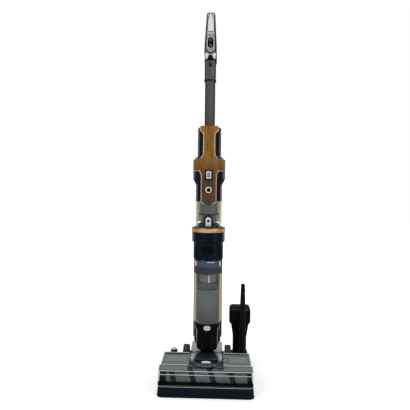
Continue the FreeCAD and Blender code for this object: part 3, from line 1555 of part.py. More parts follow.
def vac_keys():
    face = strip_face + d.key_proud
    level = cup_top + d.power_level
    width, height = d.power_width, d.power_height
    outline = box_outline(-width / 2, level - height / 2, width / 2, level + height / 2, 2)
    inner = d.vac_barrel_radius - 0.7
    node(wrapped("power_key_form", inner, face, level - height, level + height, outline), "power_latch")
    level = cup_top + d.round_level
    key = prism(
        "round_key_form", "XZ", -face, 6 + d.key_proud, Circle(0, level, d.round_radius)
    )
    front = -face.value
    round_edges(key, 1, lambda e: abs(e.BoundBox.YMax - front) < 0.01 and e.BoundBox.YLength < 0.01)
    node(key, "round_button")


def tube_outline(grow):
    half, deep, corner = d.tube_half + grow, d.tube_half_depth + grow, d.tube_corner + grow
    return box_outline(-half, -deep, half, deep, corner)


def battery_case():
    wall, radius = d.vac_wall, d.battery_radius
    plate = battery_top - d.tube_socket - 4
    form = turned(
        "battery_turned",
        [
            (0, battery_level), (radius, battery_level), (radius, battery_top, 1), (0, battery_top),
        ],
    )
    bay = plate - battery_level - wall * 2
    extrude(form, "XY", battery_level + wall, bay, Circle(0, 0, radius - wall), cut=True)
    socket = tube_outline(Size.of(d.slip_gap))
    extrude(form, "XY", battery_top - d.tube_socket, d.tube_socket + 1, socket, cut=True)
    node(form, "battery_case")


# ---------------------------------------------------------------- tube and handle


def handle_tube():
    low, high = battery_top - d.tube_socket + d.seat_gap, sleeve_level + d.sleeve_grip
    body = new_body("tube_form")
    extrude(body, "XY", low, high - low, tube_outline(Size.of(0)))
    extrude(body, "XY", low, high - low, tube_outline(-d.tube_wall), cut=True)
    node(body, "handle_tube")
    body = new_body("sleeve_form")
    extrude(body, "XY", sleeve_level, d.sleeve_height, tube_outline(d.sleeve_wall))
    depth = d.sleeve_height - d.sleeve_cap
    extrude(body, "XY", sleeve_level, depth, tube_outline(d.shaft_gap), cut=True)
    slot = Slot(0, sleeve_level + d.sleeve_height - 15, 9, 15)
    extrude(body, "XZ", -d.tube_half_depth - 5, 6.4 - d.sleeve_wall, slot, cut=True)
    top = handle_level.value
    round_edges(body, 1, lambda e: e.BoundBox.ZMin > top - 0.01)
    node(body, "handle_collar")


def pad_outline(grow=0):
    grow = Size.of(grow)
    level = handle_level + d.pad_level
    return Slot(0, level, (d.pad_half + grow) * 2, d.pad_height + grow * 2)


def window_outline(grow=0):
    """The arched window above the control pad."""
    half, low, high = d.window_half + grow, pad_top() + 18 - grow, handle_top - 6 + grow
    return [
        (-half - 0.6, low, 3), (half + 0.6, low, 3), (half - 1, high - 22, 12),
        (3, high, 3), (-3, high, 3), (1 - half, high - 22, 12),
    ]


def pad_top():
    return handle_level + d.pad_level + d.pad_height / 2


def handle_side():
    """The side outline of the handle loop."""
    front, back, low, high = -d.handle_front, d.handle_back, handle_level, handle_top
    crown = front + d.handle_lean
    return [
        (front + 4, low), (front, low + d.handle_toe, 8), (front, high - d.lean_height, 60),
        (crown, high, 12), (crown + d.handle_crown, high, 14), (back, low + d.handle_heel, 16),
        (back - 10, low + d.handle_toe, 10), (back - d.handle_run, low, 12),
    ]


def grip_opening():
    """The side outline of the opening that the fingers go through."""
    front, back = d.handle_strut - d.handle_front, d.handle_back - d.handle_strut
    low, high = handle_level + d.grip_rise, handle_top - d.grip_crown
    bend = high - (d.lean_height - d.grip_crown) - 2
    crown = front + d.handle_lean * 0.72
    return [
        (front, low, 8), (front, bend, 50), (crown, high, 6), (crown + d.grip_run, high, 8),
        (back, low + 11, 10), (back - 12, low - 2, 10),
    ]


def front_layer(name, ahead, depth, grow):
    """A layer that follows the leaning front of the handle, in the outline of the window."""
    bend, high = handle_top - d.lean_height, handle_top + 2
    near, far = -d.handle_front - ahead, depth - d.handle_front
    lean = d.handle_lean + d.handle_lean / d.lean_height * 2
    strip = [
        (near, pad_top()), (near, bend, 60), (near + lean, high), (far + lean, high),
        (far, bend, 60), (far, pad_top()),
    ]
    wide = d.window_half * 2 + 10
    layer = prism(f"{name}_layer", "YZ", -wide / 2, wide, strip)
    room = d.handle_back
    stamp = prism(f"{name}_stamp", "XZ", near - 5, room, window_outline(grow))
    return common(f"{name}_form", layer, stamp)


def handle_frame():
    half = d.handle_half
    loop = new_body("handle_loop")
    extrude(loop, "YZ", -half - 1, half * 2 + 2, handle_side())
    extrude(loop, "YZ", -half - 2, half * 2 + 4, grip_opening(), cut=True)
    neck, low, high = d.tube_half + 0.6, handle_level, handle_top
    shoulder = low + d.handle_strut
    front = [
        (-neck, low), (neck, low), (half, shoulder), (d.handle_top_half, high),
        (-d.handle_top_half, high), (-half, shoulder),
    ]
    deep = d.handle_back + d.handle_front + 20
    view = prism("handle_view", "XZ", -d.handle_front - 10, deep, front)
    form = common("handle_blend", loop, view)
    rounded = doc.addObject("Part::Fillet", "handle_rounded")
    rounded.Base = form
    picks = []
    for n, edge in enumerate(form.Shape.Edges, start=1):
        middle = edge.BoundBox.Center
        if abs(middle.x) > half.value * 0.5 and not along(edge, Vector(1, 0, 0)):
            picks.append((n, d.handle_round.value, d.handle_round.value))
    rounded.Edges = picks
    doc.recompute()
    if not rounded.Shape.isValid() or rounded.Shape.isNull():
        raise ValueError("the handle edges were not rounded")
    reach = d.handle_front + 20
    recess = prism("pad_recess", "XZ", -reach, 20 + d.pad_depth, pad_outline(0.2))
    inlay = front_layer("window_recess", 4, d.window_depth, 0.2)
    node(cut("handle_cut", rounded, recess, inlay), "handle_frame")


def control_pad():
    front = -d.handle_front - d.pad_proud
    pad = prism("pad_form", "XZ", front, d.pad_depth + d.pad_proud, pad_outline())
    level = handle_level + d.pad_level
    for side in (1, -1):
        hole = Circle(0, level + side * d.dot_spread, d.dot_radius + 0.3)
        extrude(pad, "XZ", front - 1, d.pad_depth + d.pad_proud + 2, hole, cut=True)
    node(pad, "control_pad")
    for side, name in ((1, "power_key"), (-1, "mode_key")):
        spot = Circle(0, level + side * d.dot_spread, d.dot_radius)
        depth = d.pad_depth + d.pad_proud - d.dot_travel - 0.1
        key = prism(f"{name}_form", "XZ", front - 0.4, depth + 0.4, spot)
        node(key, name)
    window = front_layer("handle_window", d.window_proud, d.window_depth, 0)
    node(window, "handle_window")


# ---------------------------------------------------------------- build, check and write


def build():
    dock_tray()
    dock_fascia()
    dock_small_parts()
    storage_peg()
    tool_holder()
    crevice_tool()
    mini_brush()
    mini_roller()
    head_chassis()
    head_deck()
    neck_shroud()
    drive_parts()
    drive_belt()
    squeegee()
    head_axle()
    wheels()
    roller()
    roller_cover()
    cover_bumper()
    cover_latch()
    neck_core()
    neck_arms()
    lower_body()
    rear_spine()
    dirty_tank()
    clean_tank()
    suction_unit(motor_collar())
    hand_vac_base()
    dust_cup()
    vac_body()
    gold_trim()
    vac_keys()
    battery_case()
    handle_tube()
    handle_frame()
    control_pad()


def check_and_write():
    doc.recompute()
    for thing in doc.Objects:
        if "Invalid" in thing.State or "Error" in thing.State:
            raise RuntimeError(f"{thing.Name} failed: {thing.State}")
    os.makedirs("parts", exist_ok=True)
    for thing in NODES:
        shape = thing.Shape
        if shape.isNull() or not shape.isValid() or not shape.Solids:
            raise RuntimeError(f"{thing.Label} has no valid solid")
        shape.exportStep(f"parts/{thing.Label}.step")
        box = shape.BoundBox
        print(
            f"{thing.Label:20s} {len(shape.Solids)} solid {shape.Volume / 1000:9.1f} cm3"
            f"  x {box.XMin:7.1f} {box.XMax:7.1f}  y {box.YMin:7.1f} {box.YMax:7.1f}"
            f"  z {box.ZMin:7.1f} {box.ZMax:7.1f}"
        )


build()
check_and_write()
print(len(NODES), "nodes")
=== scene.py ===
"""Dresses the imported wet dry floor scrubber: finishes, fittings, studio light and camera."""

import math

import bmesh
import bpy
from mathutils import Matrix, Vector


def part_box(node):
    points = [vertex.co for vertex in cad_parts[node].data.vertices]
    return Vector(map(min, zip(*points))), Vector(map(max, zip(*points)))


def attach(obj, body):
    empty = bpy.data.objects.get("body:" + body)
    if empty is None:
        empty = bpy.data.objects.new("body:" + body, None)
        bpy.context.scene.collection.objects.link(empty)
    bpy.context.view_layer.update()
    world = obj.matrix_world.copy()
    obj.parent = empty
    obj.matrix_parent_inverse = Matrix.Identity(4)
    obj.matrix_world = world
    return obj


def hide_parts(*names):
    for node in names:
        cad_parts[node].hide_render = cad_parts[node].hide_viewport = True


MM = 0.001
TURN = 2 * math.pi

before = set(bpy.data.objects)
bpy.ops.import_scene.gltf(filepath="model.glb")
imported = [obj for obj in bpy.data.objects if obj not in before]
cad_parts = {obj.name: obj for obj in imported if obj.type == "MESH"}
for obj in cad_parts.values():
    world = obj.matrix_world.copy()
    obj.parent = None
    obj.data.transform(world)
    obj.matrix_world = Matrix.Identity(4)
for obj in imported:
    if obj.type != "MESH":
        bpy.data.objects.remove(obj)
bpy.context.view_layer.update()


# ---------------------------------------------------------------- node trees


class Wire:
    """An output socket. Arithmetic on it adds Math nodes to its tree."""

    def __init__(self, graph, socket):
        self.graph = graph
        self.socket = socket

    def __add__(self, other):
        return self.graph.math("ADD", self, other)

    __radd__ = __add__

    def __sub__(self, other):
        return self.graph.math("SUBTRACT", self, other)

    def __rsub__(self, other):
        return self.graph.math("SUBTRACT", other, self)

    def __mul__(self, other):
        return self.graph.math("MULTIPLY", self, other)

    __rmul__ = __mul__

    def __truediv__(self, other):
        return self.graph.math("DIVIDE", self, other)

    def __abs__(self):
        return self.graph.math("ABSOLUTE", self)


class Graph:
    """A node tree that is written as calls and expressions."""

    def __init__(self, tree):
        self.tree = tree

    def node(self, kind, settings=None, sockets=None, out=0):
        """Adds a node: first its settings, then the values or links of its sockets."""
        made = self.tree.nodes.new(kind)
        for key, value in (settings or {}).items():
            if key == "stops":
                fill_ramp(made.color_ramp, value)
            else:
                setattr(made, key, value)
        for key, value in (sockets or {}).items():
            self.feed(made.inputs[key], value)
        return Wire(self, made.outputs[out])

    def feed(self, socket, value):
        if isinstance(value, Wire):
            self.tree.links.new(value.socket, socket)
        else:
            socket.default_value = value

    def math(self, operation, *values):
        return self.node("ShaderNodeMath", {"operation": operation}, dict(enumerate(values)))

    def parts(self, vector):
        """The three components of a vector."""
        split = self.node("ShaderNodeSeparateXYZ", sockets={0: vector}).socket.node
        return [Wire(self, socket) for socket in split.outputs]

    def vector(self, across=0.0, deep=0.0, up=0.0):
        return self.node("ShaderNodeCombineXYZ", sockets={0: across, 1: deep, 2: up})


def fill_ramp(ramp, stops):
    """Sets a colour ramp from (position, colour) pairs."""
    while len(ramp.elements) < len(stops):
        ramp.elements.new(0.5)
    for element, (position, colour) in zip(ramp.elements, stops):
        element.position = position
        element.color = colour


def paint(red, green, blue):
    """A display colour, 0 to 255, as the linear values that sockets take."""

    def linear(value):
        share = value / 255
        return share / 12.92 if share <= 0.04045 else ((share + 0.055) / 1.055) ** 2.4

    return (linear(red), linear(green), linear(blue), 1.0)


class Finish(Graph):
    """A material: a Principled shader and what feeds it."""

    def __init__(self, name, sockets=None):
        self.material = bpy.data.materials.new(name)
        self.material.use_nodes = True
        super().__init__(self.material.node_tree)
        self.tree.nodes.clear()
        self.shader = self.tree.nodes.new("ShaderNodeBsdfPrincipled")
        output = self.tree.nodes.new("ShaderNodeOutputMaterial")
        self.tree.links.new(self.shader.outputs[0], output.inputs["Surface"])
        self.place = self.node("ShaderNodeTexCoord", out="Object")
        self.give(sockets or {})

    def give(self, sockets):
        for key, value in sockets.items():
            self.feed(self.shader.inputs[key], value)

    def surface(self, colour, grain, depth, rough, spread, relief=None):
        """Lets a grain vary the colour by a depth and the roughness by a spread."""
        sockets = {
            "Base Color": self.tint(colour, 1 - depth / 2 + grain * depth),
            "Roughness": rough + grain * spread,
        }
        if relief:
            sockets["Normal"] = relief
        self.give(sockets)
        return self

    def grain(self, scale, detail=2.0, roughness=0.5, stretch=(1, 1, 1)):
        """Noise of a size: scale is how many grains go into a metre."""
        where = self.node("ShaderNodeMapping", sockets={"Vector": self.place, "Scale": stretch})
        sockets = {"Vector": where, "Scale": scale, "Detail": detail, "Roughness": roughness}
        return self.node("ShaderNodeTexNoise", sockets=sockets)

    def mix(self, share, low, high):
        sockets = {0: share, 6: low, 7: high}
        return self.node("ShaderNodeMix", {"data_type": "RGBA"}, sockets, 2)

    def tint(self, colour, share):
        """A colour made lighter or darker by a share."""
        colour = colour if isinstance(colour, Wire) else colour[:3]
        settings = {"operation": "SCALE"}
        return self.node("ShaderNodeVectorMath", settings, {0: colour, "Scale": share})

    def step(self, value, low, high):
        """Rises smoothly from 0 at low to 1 at high."""
        settings = {"interpolation_type": "SMOOTHSTEP"}
        sockets = {"Value": value, "From Min": low, "From Max": high}
        return self.node("ShaderNodeMapRange", settings, sockets)

    def ramp(self, share, stops):
        return self.node("ShaderNodeValToRGB", {"stops": stops}, {0: share})

    def bump(self, height, strength, distance):
        """A bump whose height is given in millimetres by distance."""
        sockets = {"Height": height, "Strength": strength, "Distance": distance * MM}
        return self.node("ShaderNodeBump", sockets=sockets)

    def rim(self):
        """1 where a surface is seen edge on, 0 where it faces the eye."""
        return self.node("ShaderNodeLayerWeight", sockets={"Blend": 0.35}, out="Facing")


# ---------------------------------------------------------------- finishes


def moulded(name, colour, rough, skin, coat=0.0):
    """Moulded plastic: a fine skin, faint clouding and a gloss that hands have rubbed unevenly."""
    sockets = {"Specular IOR Level": 0.22, "Coat Weight": coat, "Coat Roughness": 0.06}
    made = Finish(name, sockets)
    cloud, rub, fleck = made.grain(26, 3), made.grain(75, 4, 0.6), made.grain(1400, 2, 0.6)
    made.give(
        {
            "Base Color": made.tint(paint(*colour), 0.95 + cloud * 0.1),
            "Roughness": rough - 0.07 + rub * 0.14,
            "Normal": made.bump(fleck, skin, 0.06),
        }
    )
    return made


def brushed(name, colour, rough, metal=0.35, along=(1, 1, 0.02), lines=900, depth=0.25):
    """Metal with fine lines along one way."""
    made = Finish(name, {"Metallic": metal})
    line = made.grain(lines, 3, 0.6, along)
    relief = made.bump(line, depth, 0.03)
    return made.surface(paint(*colour), line, 0.24, rough - 0.06, 0.12, relief)


def see_through(name, colour, share, edge):
    """Clear plastic: a share of its colour shows face on, and more of it edge on."""
    made = Finish(name, {"IOR": 1.5, "Specular IOR Level": 0.3})
    made.surface(paint(*colour), made.grain(22, 3), 0.12, 0.06, 0.06)
    made.give({"Alpha": share + made.step(made.rim(), 0.26, 0.5) * edge})
    made.material.blend_method = "BLEND"
    return made


def rubber(name, colour):
    made = Finish(name)
    relief = made.bump(made.grain(2200, 3, 0.6), 0.35, 0.08)
    return made.surface(paint(*colour), made.grain(55, 5, 0.65), 0.4, 0.62, 0.2, relief)


def gold_finish():
    """Brushed golden brown, streaked along its length, redder and darker towards the foot."""
    made = Finish("brushed_gold", {"Specular IOR Level": 0.22, "Metallic": 0.25})
    streak = made.grain(300, 4, 0.65, (1, 1, 0.12))
    hair = made.grain(1500, 2, 0.5, (1, 1, 0.08))
    high = made.step(made.parts(made.place)[2], 0.6, 0.68)
    low_tone = made.ramp(streak, [(0.3, paint(60, 38, 22)), (0.7, paint(106, 73, 44))])
    high_tone = made.ramp(streak, [(0.3, paint(106, 70, 26)), (0.7, paint(156, 110, 46))])
    made.give(
        {
            "Base Color": made.tint(made.mix(high, low_tone, high_tone), 0.85 + hair * 0.3),
            "Roughness": 0.4 + streak * 0.14,
            "Normal": made.bump(hair, 0.3, 0.03),
        }
    )
    return made


def copper_finish():
    """The copper ring: a painted highlight at the middle of its front, painted shade at its top
    and foot where it turns in.
    """
    made = Finish("polished_copper", {"Metallic": 0.4})
    across, _, up = made.parts(made.place)
    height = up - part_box("copper_ring")[0][2]
    top, under = made.step(height, 0.0112, 0.0136), made.step(height, 0.003, 0.001)
    # painted highlight: pale in the middle of the front, copper towards the sides
    aside = made.step(abs(across + 0.004), 0.012, 0.03)
    tone = made.mix(aside, paint(228, 190, 152), paint(206, 150, 106))
    tone = made.mix(top, tone, paint(100, 74, 58))
    tone = made.mix(under, tone, paint(120, 88, 64))
    line = made.grain(500, 3, 0.6, (1, 1, 0.3))
    return made.surface(tone, line, 0.16, 0.3, 0.12, made.bump(line, 0.06, 0.03))


def sided(name, face, side, half, soft, rough):
    """A pipe whose front is lighter than its rounded flanks, half from the centre line: painted
    shade on the flanks and painted light rising to the right.
    """
    made = Finish(name, {"Specular IOR Level": 0.2})
    across = made.parts(made.place)[0]
    # painted shade on the rounded flanks
    flank = made.step(abs(across), (half - soft) * MM, half * MM)
    line = made.grain(700, 3, 0.6, (1, 1, 0.02))
    # painted light, brighter towards the right-hand side
    glow = made.step(across, -half * MM, half * MM) * 0.3 + 0.8
    tone = made.tint(made.mix(flank, paint(*face), paint(*side)), glow)
    return made.surface(tone, line, 0.16, rough - 0.06, 0.12, made.bump(line, 0.2, 0.03))


def handle_finish():
    """Pale down the front of the loop, dark along its tapering sides, greyer below the window."""
    made = Finish("handle_grey", {"Specular IOR Level": 0.25})
    across, _, up = made.parts(made.place)
    foot, half_at_foot, taper, spring, rise = 0.995, 0.0192, 0.0473, 1.112, 0.0143
    sideways = across / (half_at_foot - (up - foot) * taper)
    over = made.math("MAXIMUM", up - spring, 0.0) / rise
    reach = made.math("SQRT", sideways * sideways + over * over)
    high = made.step(up, 1.046, 1.062)
    face = made.mix(high, paint(138, 144, 142), paint(196, 199, 198))
    tone = made.mix(made.step(reach, 0.6, 0.78), face, paint(15, 17, 18))
    relief = made.bump(made.grain(1300, 2), 0.15, 0.05)
    return made.surface(tone, made.grain(60, 3), 0.12, 0.32, 0.1, relief)


def hump_finish():
    """The navy hump, whose flanks carry on the pale grey of the neck arms and their painted light
    towards the outside.
    """
    made = Finish("hump_shell", {"Specular IOR Level": 0.25})
    across, deep, _ = made.parts(made.place)
    wide = 0.022 + made.step(deep, -0.055, -0.1) * 0.013
    flank = made.step(abs(across) - wide, 0.0, 0.0012)
    # painted light, growing towards the outer edge as on the arms
    edge = made.step(abs(across), 0.026, 0.044)
    pale = made.mix(edge, paint(84, 90, 92), paint(150, 153, 150))
    tone = made.mix(flank, paint(12, 21, 34), pale)
    relief = made.bump(made.grain(1400, 2), 0.1, 0.05)
    return made.surface(tone, made.grain(36, 3), 0.16, 0.24, 0.1, relief)


def arm_finish():
    """The neck arms: painted light at their outer and upper edges, painted shade towards the
    inside.
    """
    made = Finish("arm_grey", {"Specular IOR Level": 0.25})
    across, _, up = made.parts(made.place)
    # painted light at the outer and upper edges, painted shade towards the inside
    outside, height = made.step(abs(across), 0.024, 0.044), made.step(up, 0.058, 0.108)
    light = made.math("MINIMUM", 0.2 + outside * 0.7 + height * 0.6, 1.0)
    tone = made.mix(light, paint(48, 52, 54), paint(160, 163, 160))
    relief = made.bump(made.grain(1500, 2), 0.12, 0.05)
    return made.surface(tone, made.grain(40, 3), 0.1, 0.3, 0.1, relief)


def pile_finish():
    """Grey microfibre with dark bands that wind round the roller."""
    made = Finish("roller_pile", {"Roughness": 0.9, "Sheen Weight": 0.3})
    axle_deep, axle_up, bands_per_metre = -0.121, 0.0403, 18.2
    across, deep, up = made.parts(made.place)
    angle = made.math("ARCTAN2", up - axle_up, deep - axle_deep)
    turn = across * bands_per_metre - angle * (1 / TURN)
    share = made.math("FRACT", turn + 10.6)
    band = made.step(abs(share - 0.5), 0.125, 0.155)
    fibre = made.grain(900, 3, 0.7)
    grey = made.tint(paint(122, 131, 133), 0.6 + fibre * 0.8)
    dark = made.tint(paint(16, 26, 46), 0.7 + fibre * 0.6)
    made.give({"Base Color": made.mix(band, dark, grey), "Normal": made.bump(fibre, 0.6, 0.4)})
    return made


def settling_finish():
    """The parts in the dirty water tank: grey pipe, dark skirt, blue-grey cup."""
    made = Finish("settling_grey", {"Coat Weight": 0.15})
    up = made.parts(made.place)[2]
    high, low = made.step(up, 0.2826, 0.2836), made.step(up, 0.2672, 0.2684)
    side = made.mix(made.step(up, 0.18, 0.24), paint(60, 67, 74), paint(82, 92, 100))
    cup = made.mix(low, side, paint(50, 54, 58))
    tone = made.mix(high, cup, paint(98, 100, 96))
    return made.surface(tone, made.grain(45, 3), 0.24, 0.28, 0.12)


FINISHES = {
    "navy": moulded("navy_gloss", (9, 18, 29), 0.22, 0.08, 0.08),
    "navy_satin": moulded("navy_satin", (12, 20, 29), 0.36, 0.22),
    "black": moulded("black_satin", (9, 10, 12), 0.38, 0.25),
    "gloss": moulded("black_gloss", (4, 5, 9), 0.16, 0.04, 0.08),
    "grey": moulded("grey_satin", (117, 123, 120), 0.34, 0.22),
    "slate": moulded("blue_grey", (56, 68, 82), 0.2, 0.06, 0.1),
    "charcoal": moulded("charcoal", (58, 61, 66), 0.42, 0.2),
    "pale": moulded("pale_grey", (205, 208, 207), 0.28, 0.1, 0.2),
    "gold": gold_finish(),
    "champagne": brushed("champagne_line", (226, 206, 172), 0.35, 0.1),
    "copper": copper_finish(),
    "silver": brushed("satin_silver", (214, 214, 212), 0.34, 0.15),
    "chrome": brushed("chrome", (198, 200, 202), 0.14, 0.6, (1, 1, 1), 60, 0.02),
    "steel": brushed("steel", (168, 170, 172), 0.32, along=(0.05, 1, 1)),
    "brass": brushed("brass", (214, 176, 96), 0.25),
    "tube": sided("tube_grey", (77, 77, 77), (10, 10, 11), 11.8, 2.2, 0.4),
    "collar": sided("sleeve_grey", (80, 83, 76), (10, 11, 11), 14.2, 2.4, 0.32),
    "handle": handle_finish(),
    "hump": hump_finish(),
    "arms": arm_finish(),
    "rubber": rubber("black_rubber", (16, 17, 18)),
    "clear": see_through("clear_plastic", (196, 194, 166), 0.04, 0.5),
    "haze": see_through("hazy_plastic", (228, 225, 198), 0.62, 0.2),
    "smoke": see_through("smoke_plastic", (24, 32, 40), 0.12, 0.3),
    "water": see_through("tank_blue", (62, 78, 94), 0.62, 0.3),
    "inner": settling_finish(),
    "pile": pile_finish(),
    "bristle": rubber("bristle_black", (24, 26, 30)),
    "line": moulded("pale_trim", (196, 200, 190), 0.3, 0.08, 0.1),
    "lilac": brushed("lilac_silver", (150, 146, 170), 0.25),
    "brow": moulded("brow_grey", (84, 90, 88), 0.3, 0.1),
    "dark_ring": moulded("violet_grey", (52, 56, 63), 0.3, 0.1),
    "ink": moulded("ink_blue", (14, 24, 40), 0.2, 0.05, 0.1),
    "glow": moulded("lid_blue", (62, 78, 94), 0.16, 0.05, 0.15),
    "cyclone": moulded("cyclone_grey", (86, 95, 98), 0.28, 0.06, 0.3),
}

NODES_OF_FINISH = {
    "navy_satin": "dock_tray crevice_tool head_chassis tool_holder neck_core",
    "navy": "dock_fascia neck_shroud motor_housing vac_housing battery_case",
    "gloss": "lower_housing lower_panel storage_peg control_pad body_button cover_bumper "
    "power_key mode_key power_latch",
    "black": "mini_brush_body rear_spine cup_base drive_belt",
    "rubber": "dock_feet squeegee wheel_left_tyre wheel_right_tyre",
    "grey": "head_deck",
    "charcoal": "tank_filter mini_brush_roller roller_sleeve",
    "slate": "tank_lid clean_tank_cap",
    "silver": "cover_latch tank_button cup_latch round_button",
    "steel": "head_axle roller_motor suction_motor vac_motor roller_core",
    "brass": "charging_pins motor_pulley",
    "pale": "handle_window suction_impeller",
    "chrome": "wheel_left_hub wheel_right_hub",
    "clear": "dirty_tank_shell dust_cup",
    "smoke": "roller_cover",
    "water": "clean_tank",
    "inner": "tank_standpipe",
    "cyclone": "cyclone",
    "gold": "gold_trim",
    "copper": "copper_ring",
    "tube": "handle_tube",
    "collar": "handle_collar",
    "handle": "handle_frame",
    "arms": "neck_arms",
}


def dress_nodes():
    """Gives the CAD nodes their finishes."""
    for finish, names in NODES_OF_FINISH.items():
        for name in names.split():
            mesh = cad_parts[name].data
            mesh.materials.clear()
            mesh.materials.append(FINISHES[finish].material)


# ---------------------------------------------------------------- shapes, in millimetres


class Span:
    """The box round a CAD node and its middle, in millimetres."""

    def __init__(self, node):
        low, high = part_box(node)
        self.left, self.front, self.foot = (value / MM for value in low)
        self.right, self.back, self.top = (value / MM for value in high)
        self.x = (self.left + self.right) / 2
        self.y = (self.front + self.back) / 2
        self.z = (self.foot + self.top) / 2


def form(name, points, faces=()):
    """A mesh object from points in millimetres."""
    mesh = bpy.data.meshes.new(name)
    mesh.from_pydata([Vector(point) * MM for point in points], [], faces)
    made = bpy.data.objects.new(name, mesh)
    bpy.context.scene.collection.objects.link(made)
    return made


def tidy(mesh):
    """Merges doubled points and turns every face outwards."""
    loose = bmesh.new()
    loose.from_mesh(mesh)
    bmesh.ops.remove_doubles(loose, verts=loose.verts, dist=1e-6)
    bmesh.ops.recalc_face_normals(loose, faces=loose.faces)
    loose.to_mesh(mesh)
    loose.free()


def settled(made):
    """A shape's mesh as its modifiers leave it."""
    bpy.context.view_layer.update()
    return bpy.data.meshes.new_from_object(
        made.evaluated_get(bpy.context.evaluated_depsgraph_get())
    )


def settle(made):
    """Makes a shape's modifiers part of its mesh."""
    made.data = settled(made)
    made.modifiers.clear()
    return made


def rounded(corners, steps=5):
    """The corners of an outline, those with a third number rounded to that radius."""
    outline = []
    for n, corner in enumerate(corners):
        here = Vector(corner[:2])
        if len(corner) < 3:
            outline.append(tuple(here))
            continue
        back = (Vector(corners[n - 1][:2]) - here).normalized()
        ahead = (Vector(corners[(n + 1) % len(corners)][:2]) - here).normalized()
        half = back.angle(ahead) / 2
        reach = corner[2] / math.tan(half)
        centre = here + (back + ahead).normalized() * corner[2] / math.sin(half)
        start, end = here + back * reach - centre, here + ahead * reach - centre
        sweep = start.angle_signed(end)
        for step in range(steps + 1):
            outline.append(tuple(centre + Matrix.Rotation(-sweep * step / steps, 2) @ start))
    return outline


def oblong(half_wide, half_high, corner, centre=(0, 0)):
    """A rounded rectangle about a centre."""
    x, y = centre
    spots = ((-1, -1), (1, -1), (1, 1), (-1, 1))
    return rounded([(x + a * half_wide, y + b * half_high, corner) for a, b in spots])


def arc(centre, wide, high, start, end, step):
    """Points of an ellipse, from an angle to another, both in degrees."""
    x, y = centre
    turns = [math.radians(start + step * n) for n in range(round((end - start) / step) + 1)]
    return [(x + wide * math.cos(a), y + high * math.sin(a)) for a in turns]


def between(outline, reach, closed=False):
    """An outline with points put in so that none lie further apart than a reach."""
    ends = [*outline[1:], outline[0]] if closed else outline[1:]
    spots = []
    for here, after in zip(map(Vector, outline), map(Vector, ends)):
        steps = max(1, math.ceil((after - here).length / reach))
        spots += [tuple(here.lerp(after, k / steps)) for k in range(steps)]
    return spots if closed else [*spots, outline[-1]]


def upright(outline, deep):
    """A flat outline stood upright at a depth."""
    return [(x, deep, z) for x, z in outline]


def wrapped(outline, radius):
    """A flat outline wrapped on the front of a round body."""
    return [(x, -math.sqrt(max(radius * radius - x * x, 0)), z) for x, z in outline]


def round_path(radius, level, start, end, steps=48):
    """Points round the upright axis; angle 0 is the front and 90 the right-hand side."""
    turns = [math.radians(start + (end - start) * n / steps) for n in range(steps + 1)]
    return [(radius * math.sin(a), -radius * math.cos(a), level) for a in turns]


PLANES = {
    "XY": lambda across, up, level: (across, up, level),
    "XZ": lambda across, up, level: (across, level, up),
    "YZ": lambda across, up, level: (level, across, up),
}


def loops(name, rings, closed=False):
    """A skin over rings of as many points each, capped at both ends or closed on itself."""
    count = len(rings[0])
    points = [point for ring in rings for point in ring]
    faces = []
    for n in range(len(rings) if closed else len(rings) - 1):
        a, b = n * count, (n + 1) % len(rings) * count
        for k in range(count):
            m = (k + 1) % count
            faces.append((a + k, a + m, b + m, b + k))
    if not closed:
        faces += [tuple(range(count)), tuple(range(len(points) - count, len(points)))]
    made = form(name, points, faces)
    tidy(made.data)
    return made


def slab(name, outline, low, high, plane="XZ"):
    """An outline drawn in a plane, given a thickness."""
    put = PLANES[plane]
    return loops(name, [[put(a, b, level) for a, b in outline] for level in (low, high)])


def hoop(name, outer, inner, low, high, plane="XY"):
    """A wall between two outlines of as many points."""
    put = PLANES[plane]
    turns = ((outer, low), (outer, high), (inner, high), (inner, low))
    rings = [[put(a, b, level) for a, b in outline] for outline, level in turns]
    return loops(name, rings, closed=True)


def lathe(name, outline, axis="Z", centre=(0, 0, 0), steps=96, sweep=None):
    """An outline of (radius, level) turned about an axis, all round or from angle to angle."""
    x, y, z = centre
    start, end = sweep or (0, 360)
    rings = []
    for n in range(steps + (1 if sweep else 0)):
        angle = math.radians(start + (end - start) * n / steps)
        c, s = math.cos(angle), math.sin(angle)
        if axis == "Z":
            rings.append([(x + r * c, y + r * s, z + level) for r, level in outline])
        elif axis == "X":
            rings.append([(x + level, y + r * c, z + r * s) for r, level in outline])
        else:
            rings.append([(x + r * c, y + level, z + r * s) for r, level in outline])
    return loops(name, rings, closed=sweep is None)


def bead(name, path, radius, closed=False):
    """A round bead along a path."""
    curve = bpy.data.curves.new(name, "CURVE")
    curve.dimensions = "3D"
    curve.bevel_depth = radius * MM
    curve.bevel_resolution = 2
    curve.use_fill_caps = True
    line = curve.splines.new("POLY")
    line.points.add(len(path) - 1)
    for point, spot in zip(line.points, path):
        point.co = (*(Vector(spot) * MM), 1)
    line.use_cyclic_u = closed
    guide = bpy.data.objects.new(name, curve)
    bpy.context.scene.collection.objects.link(guide)
    mesh = settled(guide)
    bpy.data.objects.remove(guide)
    made = bpy.data.objects.new(name, mesh)
    bpy.context.scene.collection.objects.link(made)
    tidy(mesh)
    return made


def sheet(name, at, across, along):
    """A curved sheet without a thickness: at(s, t) gives its points."""
    points = [at(i / across, j / along) for j in range(along + 1) for i in range(across + 1)]
    row = across + 1
    faces = [
        (j * row + i, j * row + i + 1, (j + 1) * row + i + 1, (j + 1) * row + i)
        for j in range(along)
        for i in range(across)
    ]
    return form(name, points, faces)


def thicken(made, depth):
    """Gives a sheet a thickness inwards."""
    thick = made.modifiers.new("thick", "SOLIDIFY")
    thick.thickness = depth * MM
    thick.offset = -1
    return settle(made)


